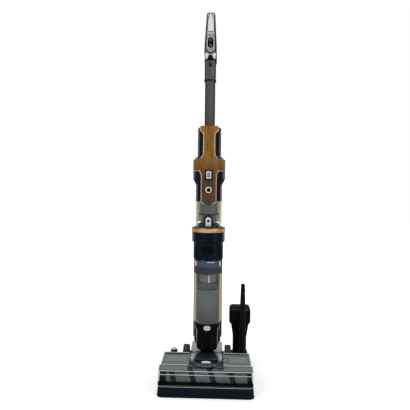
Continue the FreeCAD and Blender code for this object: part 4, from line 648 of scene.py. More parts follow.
def soften(made, width):
    """Rounds the sharp edges."""
    edge = made.modifiers.new("edge", "BEVEL")
    edge.width = width * MM
    edge.segments = 2
    edge.limit_method = "ANGLE"
    edge.angle_limit = math.radians(40)
    return settle(made)


def joined(name, *parts):
    """Several shapes as one."""
    whole = bmesh.new()
    for part in parts:
        whole.from_mesh(part.data)
        bpy.data.objects.remove(part)
    made = form(name, [])
    whole.to_mesh(made.data)
    whole.free()
    return made


def mirrored(part, x=0.0):
    """A shape and its copy on the other side of an upright plane at x."""
    name = part.name
    twin = form(f"{name}_twin", [])
    twin.data = part.data.copy()
    across = Matrix.Translation((2 * x * MM, 0, 0)) @ Matrix.Scale(-1, 4, Vector((1, 0, 0)))
    twin.data.transform(across)
    twin.data.flip_normals()
    return joined(name, part, twin)


def move(made, turn=None, shift=(0, 0, 0)):
    """Turns a shape about an axis, then shifts it by millimetres."""
    matrix = Matrix.Translation(Vector(shift) * MM)
    if turn:
        angle, axis = turn
        matrix = matrix @ Matrix.Rotation(math.radians(angle), 4, axis)
    made.data.transform(matrix)
    return made


def fit(made, body, finish, *hidden):
    """Gives a shape its finish and lets it ride on its body."""
    made.data.name = made.name
    made.data.materials.clear()
    made.data.materials.append(FINISHES[finish].material)
    made.data.shade_smooth()
    made.data.set_sharp_from_angle(angle=math.radians(32))
    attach(made, body)
    if hidden:
        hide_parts(*hidden)


# ---------------------------------------------------------------- what repeats


def new_group(name, *inputs):
    """A geometry tree with named inputs."""
    tree = bpy.data.node_groups.new(name, "GeometryNodeTree")
    tree.interface.new_socket("Geometry", in_out="OUTPUT", socket_type="NodeSocketGeometry")
    for label, kind in (("Geometry", "Geometry"), *inputs, ("Material", "Material")):
        tree.interface.new_socket(label, in_out="INPUT", socket_type=f"NodeSocket{kind}")
    graph = Graph(tree)
    entry = tree.nodes.new("NodeGroupInput")
    graph.given = {socket.name: Wire(graph, socket) for socket in entry.outputs if socket.name}
    return graph


def close_group(graph, shapes):
    """Makes the copies real and gives them their material."""
    real = graph.node("GeometryNodeRealizeInstances", sockets={0: shapes})
    sockets = {"Geometry": real, "Material": graph.given["Material"]}
    painted = graph.node("GeometryNodeSetMaterial", sockets=sockets)
    output = graph.tree.nodes.new("NodeGroupOutput")
    graph.feed(output.inputs[0], painted)
    return graph.tree


def ring_group():
    """Copies of a shape round the upright axis."""
    graph = new_group("ring_of_copies", ("Count", "Int"), ("Start", "Float"), ("Step", "Float"))
    given = graph.given
    angle = graph.node("GeometryNodeInputIndex") * given["Step"] + given["Start"]
    sockets = {
        "Points": graph.node("GeometryNodePoints", sockets={"Count": given["Count"]}),
        "Instance": given["Geometry"],
        "Rotation": graph.vector(up=angle),
    }
    return close_group(graph, graph.node("GeometryNodeInstanceOnPoints", sockets=sockets))


def row_group():
    """Copies of a shape in a straight row."""
    graph = new_group("row_of_copies", ("Count", "Int"), ("Step", "Vector"))
    sockets = {"Count": graph.given["Count"], "Offset": graph.given["Step"]}
    points = graph.node("GeometryNodeMeshLine", {"mode": "OFFSET"}, sockets)
    sockets = {"Points": points, "Instance": graph.given["Geometry"]}
    return close_group(graph, graph.node("GeometryNodeInstanceOnPoints", sockets=sockets))


def tuft_group():
    """Tufts of pile that stand on a surface, each a little different."""
    inputs = [(label, "Float") for label in ("Density", "Length", "Thickness")]
    graph = new_group("tufts", *inputs, ("Seed", "Int"))
    given = graph.given
    sockets = {"Mesh": given["Geometry"], "Density": given["Density"], "Seed": given["Seed"]}
    spread = graph.node("GeometryNodeDistributePointsOnFaces", sockets=sockets)
    sockets = {
        "Vertices": 4, "Radius Bottom": given["Thickness"], "Radius Top": 0.0,
        "Depth": given["Length"],
    }
    hair = graph.node("GeometryNodeMeshCone", sockets=sockets)
    sockets = {"Min": 0.7, "Max": 1.0, "Seed": given["Seed"]}
    size = graph.node("FunctionNodeRandomValue", {"data_type": "FLOAT"}, sockets, "Value")
    sockets = {
        "Points": spread,
        "Instance": hair,
        "Rotation": Wire(graph, spread.socket.node.outputs["Rotation"]),
        "Scale": graph.vector(1.0, 1.0, size),
    }
    tufts = graph.node("GeometryNodeInstanceOnPoints", sockets=sockets)
    join = graph.tree.nodes.new("GeometryNodeJoinGeometry")
    for part in (given["Geometry"], tufts):
        graph.feed(join.inputs[0], part)
    return close_group(graph, Wire(graph, join.outputs[0]))


RING, ROW, TUFTS = ring_group(), row_group(), tuft_group()


def repeat(made, group, finish, **values):
    """Runs a tree on a shape with the given values."""
    copies = made.modifiers.new("copies", "NODES")
    copies.node_group = group
    keys = {
        item.name: item.identifier
        for item in group.interface.items_tree
        if item.item_type == "SOCKET" and item.in_out == "INPUT"
    }
    for label, value in values.items():
        copies[keys[label]] = value
    copies[keys["Material"]] = FINISHES[finish].material
    return settle(made)


def ring(made, finish, count, step, start=0.0):
    """Copies round the upright axis, step degrees apart."""
    start, step = math.radians(start), math.radians(step)
    return repeat(made, RING, finish, Count=count, Start=start, Step=step)


def row(made, finish, count, step):
    """Copies in a row, step millimetres apart."""
    return repeat(made, ROW, finish, Count=count, Step=Vector(step) * MM)


def fit_ring(made, body, finish, count, step, start):
    fit(ring(made, finish, count, step, start), body, finish)


def fit_row(made, body, finish, count, step):
    fit(row(made, finish, count, step), body, finish)


def fit_bars(name, body, finish, bar, reach, count, step, plane="XZ"):
    """A row of rounded bars: bar is what oblong takes, reach the lowest and highest level."""
    fit_row(slab(name, oblong(*bar), *reach, plane), body, finish, count, step)


def fit_plate(name, body, finish, outline, reach, soft, plane="XZ"):
    """A slab with soft edges."""
    fit(soften(slab(name, outline, *reach, plane), soft), body, finish)


def fit_line(name, body, finish, path, radius, closed=False):
    fit(bead(name, path, radius, closed), body, finish)


def fit_pair(name, body, finish, path, radius, closed=False):
    """A bead on the right and its copy on the left."""
    fit(mirrored(bead(name, path, radius, closed)), body, finish)


def fit_turned(name, body, finish, outline, *turning, **more):
    """A turned shape: what follows its outline is what lathe takes."""
    fit(lathe(name, outline, *turning, **more), body, finish)


def seams(name, body, width, turns, steps=96):
    """Dark lines round the upright axis: each turn has a radius, a level and an angle to miss."""
    lines = []
    for radius, level, start in turns:
        path = round_path(radius + 0.1, level, start, 360 - start, steps)
        lines.append(bead("seam", path if start else path[:-1], width, closed=not start))
    fit(joined(name, *lines), body, "gloss")


# ---------------------------------------------------------------- dock and tools


def dock_fittings():
    tray, peg, holder = Span("dock_tray"), Span("storage_peg"), Span("tool_holder")
    # A pale line along the rim at the top of the fascia: a painted highlight.
    half, front, corner, level = tray.right - 3.1, tray.front + 3.0, 13, 28.4
    bend = arc((half - corner, front + corner), corner, corner, -90, 0, 9)
    right = [(x, y, level) for x, y in bend] + [(half, front + 95, level)]
    left = [(-x, y, z) for x, y, z in reversed(right)]
    fit_line("dock_rim_highlight", "dock", "line", [*left, *right], 0.45)

    inlet = (-70, tray.back - 4, 10)
    rim = [(3.3, 0.1), (5.4, 0.1), (5.4, 0.7), (4.6, 1.2), (3.3, 1.2)]
    fit_turned("inlet_ring", "dock", "steel", rim, "Y", inlet, 40)
    pin = [(0, -8.6), (0.9, -8.6), (0.9, -2.4), (0.4, -1.6), (0, -1.6)]
    fit_turned("inlet_pin", "dock", "brass", pin, "Y", inlet, 20)

    for name, bar, reach, count, step in (
        ("platform_ribs", (76, 0.9, 0.6, (-8, 50)), (11.9, 12.9), 5, (0, 6, 0)),
        ("trough_ribs", (0.9, 24, 0.6, (-108, -118)), (4.9, 6.2), 10, (24, 0, 0)),
    ):
        fit_bars(name, "dock", "navy_satin", bar, reach, count, step, "XY")

    # The chrome ring is a painted highlight on the peg's glossy black dome. The chrome cap is the
    # peg's top and also a painted highlight.
    spot = (peg.x, peg.y, peg.top)
    cap = [(0, -2.0), (8.3, -2.0), (8.6, -1.4), (7.6, -0.4), (4.4, 0.5), (0, 0.9)]
    fit_turned("peg_cap_highlight", "dock", "chrome", cap, "Z", spot, 48)
    band = [(11.3, -11.5), (11.9, -11.2), (11.9, -9.2), (11.3, -8.9)]
    fit_turned("peg_highlight_ring", "dock", "chrome", band, "Z", spot, 48)
    bar = (25.5, 0.5, 0.4, (holder.x, holder.back - 6))
    fit_bars("holder_ribs", "dock", "black", bar, (26.9, 27.6), 4, (0, -2.4, 0), "XY")


def crevice_fittings():
    tool = Span("crevice_tool")
    x, y = tool.x, tool.y
    outer, inner = oblong(7.5, 11.6, 5.6, (x, y)), oblong(6.2, 10.4, 4.6, (x, y))
    fit(hoop("crevice_band", outer, inner, 247.5, 250.5), "crevice_tool", "gloss")
    foot = [(13.1, -0.5), (13.5, 0), (13.5, 4.6), (13.1, 5.2), (12.0, 5.2), (12.0, -0.5)]
    fit_turned("crevice_foot", "crevice_tool", "gloss", foot, "Z", (x, y, tool.foot + 0.6), 48)
    clip, reach = oblong(2.2, 5.2, 1.6, (y, 58)), (x + 11.4, x + 13.3)
    fit_plate("crevice_clip", "crevice_tool", "silver", clip, reach, 0.5, "YZ")
    path = [(x - 5.2, y - 12.3, 92), (x - 3.6, y - 11.9, 160), (x - 2.4, y - 11.4, 236)]
    fit(mirrored(bead("crevice_seams", path, 0.35), x), "crevice_tool", "gloss")


def mini_brush_fittings():
    brush, bristles = Span("mini_brush_body"), Span("mini_brush_roller")
    x, y, top, front = brush.x, bristles.y, brush.top, brush.front - 0.15
    tuft, tip_gap, root = 7.5, 0.6, 4
    half = (bristles.right - bristles.left) / 2 - tuft
    radius = bristles.back - y - tip_gap - root
    outline = [(0, -half), (radius, -half), (radius, half), (0, half)]
    core = lathe("mini_bristles", outline, "X", (x, y, bristles.z), 40)
    repeat(core, TUFTS, "bristle", Density=220000.0, Length=tuft * MM, Thickness=0.4 * MM, Seed=5)
    fit(core, "mini_roller", "bristle", "mini_brush_roller")

    dash = slab("brush_dashes", oblong(2.1, 0.45, 0.4, (x - 21, top - 9)), y - 26.6, y - 25.8)
    fit_row(soften(dash, 0.15), "mini_brush", "line", 6, (8.4, 0, 0))
    side = [(16, 64), (18, 112), (24, 129), (29, 140), (29, top - 16), (22, top - 6)]
    outline = [(x - out, z) for out, z in side] + [(x + out, z) for out, z in reversed(side)]
    fit_line("brush_border", "mini_brush", "gloss", upright(outline, front), 0.4)
    bar, reach = (9, 0.8, 0.7, (x, 72)), (front - 0.5, front + 0.6)
    fit_bars("brush_grips", "mini_brush", "gloss", bar, reach, 9, (0, 0, 3.6))


# ---------------------------------------------------------------- floor head


def roller_pile():
    sleeve = Span("roller_sleeve")
    low, high, core, radius = sleeve.left + 0.8, sleeve.right - 0.8, 23, 27.2
    outline = [(core, low), (radius - 1.2, low), (radius, low + 1.5), (radius, high - 1.5),
               (radius - 1.2, high), (core, high)]
    pile = lathe("roller_pile", outline, "X", (0, sleeve.y, sleeve.z))
    repeat(pile, TUFTS, "pile", Density=260000.0, Length=1.5 * MM, Thickness=0.9 * MM, Seed=11)
    fit(pile, "roller", "pile", "roller_sleeve")


def cover_fittings():
    cover, roller, bumper = Span("roller_cover"), Span("roller_sleeve"), Span("cover_bumper")
    reach, inner, highlight_radius, brow_radius = cover.right - 0.6, 50.5, 37.6, 37.8

    def on_cover(across, angle, radius):
        a = math.radians(angle)
        return (across, roller.y - radius * math.cos(a), roller.z + radius * math.sin(a))

    # Two pale lines across the smoked cover: painted highlights where it shows two bright
    # reflections.
    for name, angle, thick in (("cover_highlight_upper", 46, 0.85), ("cover_highlight_lower", 31, 0.7)):
        path = [on_cover(x, angle, highlight_radius) for x in (-reach, reach)]
        fit_line(name, "cover", "line", path, thick)

    def brow(low, high):
        """A sheet over the top of the cover, from one place across to another."""

        def at(s, t):
            return on_cover(low + (high - low) * s, 47 + 32 * t, brow_radius)

        return sheet("brow", at, 2, 12)

    fit(joined("cover_brow", brow(-reach, -inner), brow(inner, reach)), "cover", "brow")

    half, rear, level, path = 45, -111.5, 80.9, []
    for a in [math.radians(n) for n in range(-90, 91, 9)]:
        bulge, dip = 30.5 * max(math.cos(a), 0) ** 0.8, 4.8 * math.cos(a) ** 4
        path.append((half * math.sin(a), rear - bulge, level - dip))
    fit_line("cover_lip", "cover", "gloss", path, 1.9)
    path = [(x, bumper.front + 0.2, bumper.foot + 0.6) for x in (-reach, reach)]
    fit_line("bumper_line", "cover", "steel", path, 0.3)

    latch = Span("cover_latch")
    half, tip = 11.9, latch.front + 1.0
    turns = [math.pi * n / 16 for n in range(17)]
    crescent = [(half * math.cos(a), tip + 6.2 * math.sin(a) ** 0.8) for a in turns]
    crescent += [(-half * math.cos(a), tip + 1.6 * math.sin(a)) for a in turns[1:-1]]
    levels = (latch.top - 1.5, latch.top + 0.9)
    fit_plate("latch_crescent", "cover_latch", "silver", crescent, levels, 0.35, "XY")


def wing_surface(across, deep, rise=0.0):
    """The sloped top of the wings."""
    front, length, foot, slope = -127.5, 74.5, 77, 3.5
    return (across, deep, foot + slope * ((deep - front) / length) + rise)


def wing_fittings():
    deck = Span("head_deck")
    inner, outer = 50.0, deck.right - 0.8
    rear = outer - 2
    path = [wing_surface(x, deck.front + 0.4, 0.2) for x in (inner, outer - 3)]
    path.append(wing_surface(outer, deck.front + 4, 0.1))
    fit_pair("wing_front_lines", "floor_head", "line", path, 0.9)
    path = [(inner, -53.2, 84.0), (rear, -53.2, 84.0)]
    fit_pair("wing_rear_lines", "floor_head", "line", path, 0.45)
    gap = [(-54.4, 80.2), (-53.1, 80.2), (-53.1, 83.3), (-53.6, 83.3)]
    fit(mirrored(slab("wing_gaps", gap, inner, rear, "YZ")), "floor_head", "gloss")
    left, right, front, back = inner + 6.4, outer - 6, -120.4, -60.2
    corners = rounded([(x, y, 4) for x, y in (
        (left, front), (right, front), (right, back), (left, back))])
    path = [wing_surface(x, y, 0.1) for x, y in corners]
    fit_pair("wing_borders", "floor_head", "black", path, 0.45, closed=True)
    rib = bead("wing_grooves", [wing_surface(x, -112, -0.85) for x in (62, 116)], 0.35)
    fit(mirrored(row(rib, "charcoal", 3, (0, 4, 0.19))), "floor_head", "charcoal")
    screw = [(0, 0), (2.4, 0), (2.4, 0.5), (1.2, 0.7), (1.1, 0.2), (0, 0.2)]
    screw = lathe("wing_screws", screw, "Z", (60, -49.5, 83.7), 20)
    fit(mirrored(row(screw, "steel", 2, (58, 0, 0))), "floor_head", "steel")


def hump_surface(s, t):
    """The hump in front of the neck: it rises from the bridge and falls away to both sides."""
    half, bridge, back, foot, low_step, swell = 46.5, -101.5, -50.6, 79.2, 3.2, 7.5
    across = half * (2 * s - 1)
    side = across / half
    front = bridge + 8 * side * side
    deep = front + (back - front) * t
    crown = 1 - 0.55 * side ** 4
    level = foot + (low_step + swell * math.sin(math.pi * min(t * 0.8 + 0.02, 1))) * crown
    dip = math.exp(-((side / 0.32) ** 2)) * t * 2.6
    return (across, deep, level - dip)


def neck_hump():
    """A closed solid under the hump's surface."""
    across, along, foot = 36, 18, 70.2
    rings = []
    for n in range(across + 1):
        top = [hump_surface(n / across, j / along) for j in range(along + 1)]
        x = top[0][0]
        rings.append([*top, (x, top[-1][1], foot), (x, top[0][1], foot)])
    fit(soften(loops("neck_hump", rings), 1.0), "floor_head", "hump", "neck_shroud")

    def crease(side):
        shares = [n / 12 for n in range(13)]
        spots = [hump_surface(0.5 + side * (0.02 + 0.46 * n), 0.2 + 0.78 * n) for n in shares]
        return [(x, y, z + 0.15) for x, y, z in spots]

    left, right = crease(-1), crease(1)
    fit_line("hump_crease", "floor_head", "gloss", [*reversed(left), *right], 0.55)
    fit_line("hump_glint", "floor_head", "silver", right[1:7], 0.5)

    barrel = [(0, 0), (6.9, 0), (7.5, 0.7), (7.5, 4.0), (6.8, 4.8), (6.8, 22.0), (7.5, 22.8),
              (7.5, 27.4), (6.8, 28.2), (0, 28.2)]
    x, z = 55.4, 78.6
    fit_turned("water_valve", "floor_head", "lilac", barrel, "Y", (x, -106, z), 48)
    seat = [(7.0, 0), (8.4, 0), (8.4, 2.4), (7.0, 2.4)]
    fit_turned("valve_seat", "floor_head", "gloss", seat, "Y", (x, -92.5, z), 48)


def wheel_fittings():
    for side, out in (("left", -1), ("right", 1)):
        body, treads, proud = f"wheel_{side}", 44, 6.4
        tyre = Span(f"{body}_tyre")
        axle = (tyre.x, 0, tyre.z)
        rib = slab(f"tread_{side}", oblong(0.9, 6.6, 0.5), 38.1, 38.9, "XY")
        rib = ring(move(rib, (90, "Y")), "rubber", treads, 360 / treads)
        fit(move(rib, (90, "Y"), axle), body, "rubber")
        cap = [(0, 0), (27.6, 0), (27.9, 1.0), (25.6, 1.5), (22.5, 0.6), (11, 0.6), (9.6, 2.4),
               (3.2, 3.4), (0, 3.4)]
        cap = [(r, out * (level + proud)) for r, level in cap]
        fit_turned(f"hub_cap_{side}", body, "slate", cap, "X", axle, 64)
        # A blue-grey band round the middle of each tread: a painted highlight on the dark tyre.
        band = [(38.5, -1.8), (39.0, -1.4), (39.0, 1.4), (38.5, 1.8), (38.0, 1.8), (38.0, -1.8)]
        fit_turned(f"tyre_band_{side}", body, "slate", band, "X", axle)


# ---------------------------------------------------------------- upright body

TANK_RADIUS = 43.7
COLLAR_LOW_RADIUS, COLLAR_HIGH_RADIUS = 45.9, 50.5


def panel_fittings():
    panel, key = Span("lower_panel"), Span("tank_button")
    radius, level = -panel.front + 0.15, key.z
    corners = [(27, 78), (31, 86), (31.4, 120), (32, 149), (38.2, 156), (38.2, 164.6)]
    path = wrapped(between(corners, 4), radius)
    fit_pair("panel_lines", "main_body", "line", path, 0.55)
    path = wrapped(oblong(11.0, 7.9, 6.5, (0, level)), radius + 0.1)
    fit_line("tank_key_ring", "main_body", "gloss", path, 0.6, closed=True)
    face = key.front - 0.1
    outer, inner = oblong(4.8, 2.4, 2.2, (0, level)), oblong(3.9, 1.6, 1.4, (0, level))
    mark = hoop("tank_key_mark", outer, inner, face - 0.15, face + 0.6, "XZ")
    fit(mark, "tank_key", "charcoal")
    path = wrapped([(-40.6, 112), (-39.4, 132), (-38.9, 152)], radius - 0.9)
    fit_pair("housing_seams", "main_body", "line", path, 0.35)


def arm_fittings():
    arms = Span("neck_arms")
    cap = [(0, 0), (9.2, 0), (9.2, 0.8), (8.4, 1.8), (3.0, 2.4), (0, 2.4)]
    cap = lathe("pivot_caps", cap, "X", (arms.right - 4.4, 0, 71), 40)
    fit(mirrored(cap), "neck", "lilac")
    horn = [(46.6, 88.4, 1), (46.2, 101), (43.6, 108), (40.4, 110.6, 1.5), (37.4, 107.4),
            (34.8, 101), (30.2, 95), (24.4, 90.6), (19.0, 88.4, 0.8)]
    plate = slab("arm_horns", rounded(horn), -49.4, -46.4)
    fit(mirrored(soften(plate, 1.0)), "neck", "arms")
    # A pale bead along the inner edge of each horn: a painted highlight on that edge.
    edge = [(19.6, 89.6), (24.6, 91.8), (30.2, 96.4), (34.6, 102.2), (37.4, 108.4), (40.0, 110.2)]
    fit_pair("horn_edge_highlights", "neck", "pale", upright(edge, -49.2), 0.7)


def tank_fittings():
    lid, radius = Span("tank_lid"), TANK_RADIUS
    base = radius + 0.05
    rim = [(base, 318), (radius + 0.75, 318.8), (radius + 0.75, 335.8), (base, 336.6)]
    fit_turned("tank_rim", "dirty_tank", "dark_ring", rim)
    path = round_path(radius + 0.3, lid.top - 1.2, 0, 360, 96)[:-1]
    fit_line("lid_seal", "dirty_tank", "gloss", path, 0.7, closed=True)
    window = [(radius - 1, 339.6), (radius + 0.55, 339.8), (radius + 0.55, 357.2),
              (radius - 1, 357.4)]
    fit_turned("lid_window", "dirty_tank", "glow", window, steps=64, sweep=(-158, -22))
    # Two pale bars beside the lid window: painted reflections.
    glint_foot, glint_high, glint_turn, glint_wide = 340.8, 15.4, 55.5, 7
    for name, side in (("lid_glint_left", -1), ("lid_glint_right", 1)):

        def clip(s, t, middle=glint_turn * side):
            """The face of a bright bar that stands on the lid beside its window: a painted
            reflection of a bright arc on the lid.
            """
            turn = middle + glint_wide * (s - 0.5)
            return round_path(radius + 1.3, glint_foot + glint_high * t, turn, turn, 1)[0]

        fit(soften(thicken(sheet(name, clip, 8, 2), 1.2), 0.4), "dirty_tank", "pale")
    # A pale streak round the top of the lid: a painted reflection.
    fit_line("lid_reflection_streak", "dirty_tank", "pale", round_path(radius + 0.7, 354.2, -2, 27, 12), 1.0)

    slit = slab("pipe_slit", oblong(1.7, 15.0, 1.4, (3.4, 299)), -26.4, -25.2)
    fit(slit, "dirty_tank", "pale")
    haze = [(40.6, 172), (41.2, 172), (41.2, 316), (40.6, 316)]
    fit_turned("tank_back_wall", "dirty_tank", "haze", haze, steps=64, sweep=(-10, 190))
    bell = [(26.2, 291.0), (27.6, 286.2), (30.8, 280.6), (35.4, 276.0), (37.6, 273.4),
            (37.6, 271.2), (34.2, 272.2), (26.2, 279.0)]
    fit_turned("pipe_skirt", "dirty_tank", "charcoal", bell)
    for name, level in (("fill_line", 292.0), ("tank_foot_line", 171.5)):
        fit_line(name, "dirty_tank", "water", round_path(radius + 0.1, level, -64, 64), 0.35)
    foot = [(base, 166.6), (radius + 0.6, 167.0), (radius + 0.6, 169.0), (base, 169.5)]
    fit_turned("tank_foot", "dirty_tank", "dark_ring", foot)


def clean_tank_fittings():
    tank, cap = Span("clean_tank"), Span("clean_tank_cap")
    ribs = 20
    rib = slab("cap_ribs", oblong(0.6, 2.4, 0.4, (0, cap.top - 4)), -9.3, -8.3)
    rib = move(ring(rib, "slate", ribs, 360 / ribs), shift=(0, cap.y, 0))
    fit(rib, "clean_tank", "slate")
    outline = oblong(tank.right - 5, 80, 9, (0, tank.z))
    back = tank.back + 0.1
    fit_line("clean_tank_border", "clean_tank", "slate", upright(outline, back), 0.5, closed=True)
    bar, reach = (5, 0.4, 0.3, (20, tank.foot + 24)), (back - 0.3, back + 0.3)
    fit_bars("clean_tank_marks", "clean_tank", "pale", bar, reach, 5, (0, 0, 26))


def spine_fittings():
    spine = Span("rear_spine")
    back, side = spine.back + 0.1, spine.right - 0.6
    screw = [(0, 0.9), (2.6, 0.9), (2.9, 0.2), (2.9, -0.5), (0, -0.5)]
    screw = lathe("spine_screws", screw, "Y", (-22, back - 0.4, 128), 24)
    fit_row(screw, "main_body", "steel", 2, (44, 0, 0))
    bar, reach = (1.3, 9, 1.2, (-22, 384)), (back - 0.6, back + 0.3)
    fit_bars("spine_vents", "main_body", "gloss", bar, reach, 12, (4, 0, 0))
    path = upright(oblong(30, 14, 6, (0, 384)), back)
    fit_line("spine_vent_border", "main_body", "charcoal", path, 0.6, closed=True)
    path = [(side, 30, 122), (side, 30, 400)]
    fit_pair("spine_seams", "main_body", "charcoal", path, 0.4)


def collar_fittings():
    key, low, high = Span("body_button"), COLLAR_LOW_RADIUS, COLLAR_HIGH_RADIUS
    rib = slab("collar_ribs", oblong(0.8, 19, 0.7, (0, 386)), -low - 0.7, -low + 0.5)
    fit(mirrored(ring(rib, "navy", 7, 4.2, start=48)), "main_body", "navy")
    outline = between(oblong(15.6, 10.2, 2.4, (0, key.z)), 4, closed=True)
    path = wrapped(outline, low + 0.1)
    fit_line("body_key_border", "main_body", "gloss", path, 0.5, closed=True)
    path = wrapped([(x, key.foot + 4.4) for x in (-10, -5, 0, 5, 10)], -key.front + 0.15)
    fit_row(bead("body_key_ribs", path, 0.45), "body_key", "black", 4, (0, 0, 3.0))
    seams("collar_seams", "main_body", 0.4, ((low, 364.2, 0), (high, 419.4, 0), (high, 438.6, 0)))
    slot = slab("collar_vents", oblong(1.1, 6.5, 1.0, (0, 429)), -high - 0.25, -high + 1)
    fit_ring(slot, "main_body", "gloss", 15, 6, 138)


# ---------------------------------------------------------------- hand vacuum

BATTERY_RADIUS, CHAMBER_RADIUS, BARREL_RADIUS, STRIP_RADIUS = 35.8, 40.0, 49.0, 52.1


def ring_fittings():
    foot = Span("copper_ring").foot
    outline = [(50.9, 1.2), (51.6, 3.0), (51.8, 8.5), (51.6, 13.6), (50.6, 16.0), (50.0, 15.0),
               (50.4, 8.5), (50.0, 2.0)]
    outline = [(r, foot + level) for r, level in outline]
    fit_turned("copper_bead", "main_body", "copper", outline, steps=128)


def cup_fittings():
    cup, latch = Span("dust_cup"), Span("cup_latch")
    radius = cup.right
    seal = [(radius - 2.4, 537.6), (radius + 0.3, 537.8), (radius + 0.3, 539.2),
            (radius - 2.4, 539.2)]
    fit_turned("cup_seal", "hand_vac", "gloss", seal)
    inside, outside = radius - 2.8, radius - 2.2
    haze = [(inside, 474), (outside, 474), (outside, 537), (inside, 537)]
    fit_turned("cup_back_wall", "hand_vac", "haze", haze, steps=64, sweep=(-10, 190))
    fin = [(24.6, 495.2), (36.4, 497.6), (36.6, 499.6), (24.6, 501.6)]
    fit_turned("cyclone_fin", "hand_vac", "gloss", fin)
    louvre = slab("cyclone_louvres", oblong(0.45, 13, 0.4, (0, 519)), -24.9, -23.8)
    fit_ring(louvre, "hand_vac", "charcoal", 24, 15, 7.5)
    # Dark lines down both sides of the cyclone: painted shade where its sides turn away.
    fit_pair("cyclone_edge_shade", "hand_vac", "gloss", [(24.4, -3, 503), (24.4, -3, 536)], 1.1)
    ramp = [(36.6, 453.8), (37.2, 461.5), (30.5, 470.5), (26.0, 472.4), (24.6, 472.4),
            (24.6, 453.8)]
    fit_turned("cup_ramp", "hand_vac", "gloss", ramp)

    face, half, low, high = latch.front - 0.05, 9.4, latch.foot + 1.4, latch.top - 0.8
    crown = arc((0, high - half), half, half, 10, 170, 10)
    arch = [(-half, low), (half, low), (half, high - half), *crown, (-half, high - half)]
    fit_line("latch_border", "vac_release", "gloss", upright(arch, face), 1.2, closed=True)
    dot = [(0, 0.5), (4.1, 0.5), (4.1, -0.1), (3.2, -0.8), (0, -1.1)]
    fit_turned("latch_dot", "vac_release", "gloss", dot, "Y", (0, face, high - 13.0), 32)
    bar, reach = (4.6, 0.5, 0.4, (0, low + 2.6)), (face - 0.45, face + 0.4)
    fit_bars("latch_grips", "vac_release", "steel", bar, reach, 3, (0, 0, 2.2))


def strip_edges():
    """Champagne lines down both sides of the gold strip."""
    trim = Span("gold_trim")
    low, high, shoulder, band_low = trim.foot, trim.top, 664.3, 629.7
    upper = [(27.3, high - 0.4), (27.3, high - 12.2), (16.9, high - 24), (16.9, shoulder + 14),
             (24.7, shoulder + 2)]
    lower = [(30.2, band_low + 1.6), (22.4, band_low - 12), (22.4, low + 9), (19.6, low + 3),
             (12.5, low - 0.1)]
    for name, side in (("strip_edge_upper", upper), ("strip_edge_lower", lower)):
        path = wrapped(between(side, 3), -trim.front)
        fit_pair(name, "hand_vac", "champagne", path, 0.75)


def vac_fittings():
    slide, key = Span("power_latch"), Span("round_button")
    face = slide.front
    plate, reach = oblong(7.4, 11.2, 2.4, (0, slide.z)), (face - 0.8, face + 2.6)
    fit_plate("slide_plate", "power_slide", "silver", plate, reach, 0.5)
    bar, reach = (4.6, 0.85, 0.7, (0, slide.z - 6)), (face - 1.25, face)
    fit_bars("slide_grips", "power_slide", "ink", bar, reach, 5, (0, 0, 3))

    middle = (0, key.front, key.z)
    rim = [(6.6, -0.9), (9.3, -0.9), (9.6, -0.2), (9.6, 1.1), (6.6, 1.1)]
    fit_turned("round_key_rim", "round_key", "silver", rim, "Y", middle, 64)
    dome = [(0, -2.0), (2.6, -1.8), (4.6, -1.2), (6.2, -0.2), (6.4, 0.6), (0, 0.6)]
    fit_turned("round_key_dome", "round_key", "gloss", dome, "Y", middle, 64)
    outline = between(oblong(11.9, 14.9, 2.6, (0, slide.z)), 4, closed=True)
    circle = arc((0, key.z), 11.2, 11.2, 90, -258, -12)
    for name, path in (("slide_frame", outline), ("round_key_frame", circle)):
        fit_line(name, "hand_vac", "gloss", wrapped(path, STRIP_RADIUS), 0.5, closed=True)

    turns = ((CHAMBER_RADIUS, 541.6, 34), (CHAMBER_RADIUS, 586.8, 34), (BARREL_RADIUS, 607.6, 30))
    seams("vac_seams", "hand_vac", 0.45, turns)
    # A pale lilac line round the barrel's shoulder: a painted highlight where the shoulder
    # reflects white.
    path = round_path(BARREL_RADIUS, 664.6, 26, 334, 96)
    fit_line("shoulder_highlight", "hand_vac", "lilac", path, 0.8)
    path = round_path(BARREL_RADIUS + 0.3, 629.6, 34, 326, 96)
    fit_line("band_foot_line", "hand_vac", "champagne", path, 0.5)
    slot = slab("barrel_vents", oblong(1.0, 5.2, 0.9, (0, 617)), -49.3, -48.2)
    fit_ring(slot, "hand_vac", "gloss", 21, 5, 130)
    slot = slab("vac_vents", oblong(1.0, 13, 0.9, (0, 564)), -40.35, -39.2)
    fit_ring(slot, "hand_vac", "gloss", 17, 6, 132)


def battery_fittings():
    top, radius = Span("battery_case").top, BATTERY_RADIUS
    seams("battery_seams", "hand_vac", 0.4, ((radius, 679.4, 36), (radius, top - 7, 50)), 72)
    turn = math.radians(58)
    x, y = radius * math.sin(turn), -radius * math.cos(turn)
    fit_pair("battery_lines", "hand_vac", "charcoal", [(x, y, 680), (x, y, top - 8)], 0.5)
    button = oblong(9, 5.5, 3, (0, 742))
    fit_plate("battery_button", "hand_vac", "charcoal", button, (34.6, 36.6), 0.5)
    bar = (7, 0.6, 0.5, (0, 690))
    fit_bars("battery_ribs", "hand_vac", "gloss", bar, (35.2, 36.3), 9, (0, 0, 4))
    outer, inner = oblong(19.2, 16.4, 9), oblong(16.0, 13.3, 7.2)
    fit(soften(hoop("tube_collar", outer, inner, top + 0.05, top + 1.7), 0.4), "hand_vac", "gloss")


# ---------------------------------------------------------------- tube and handle


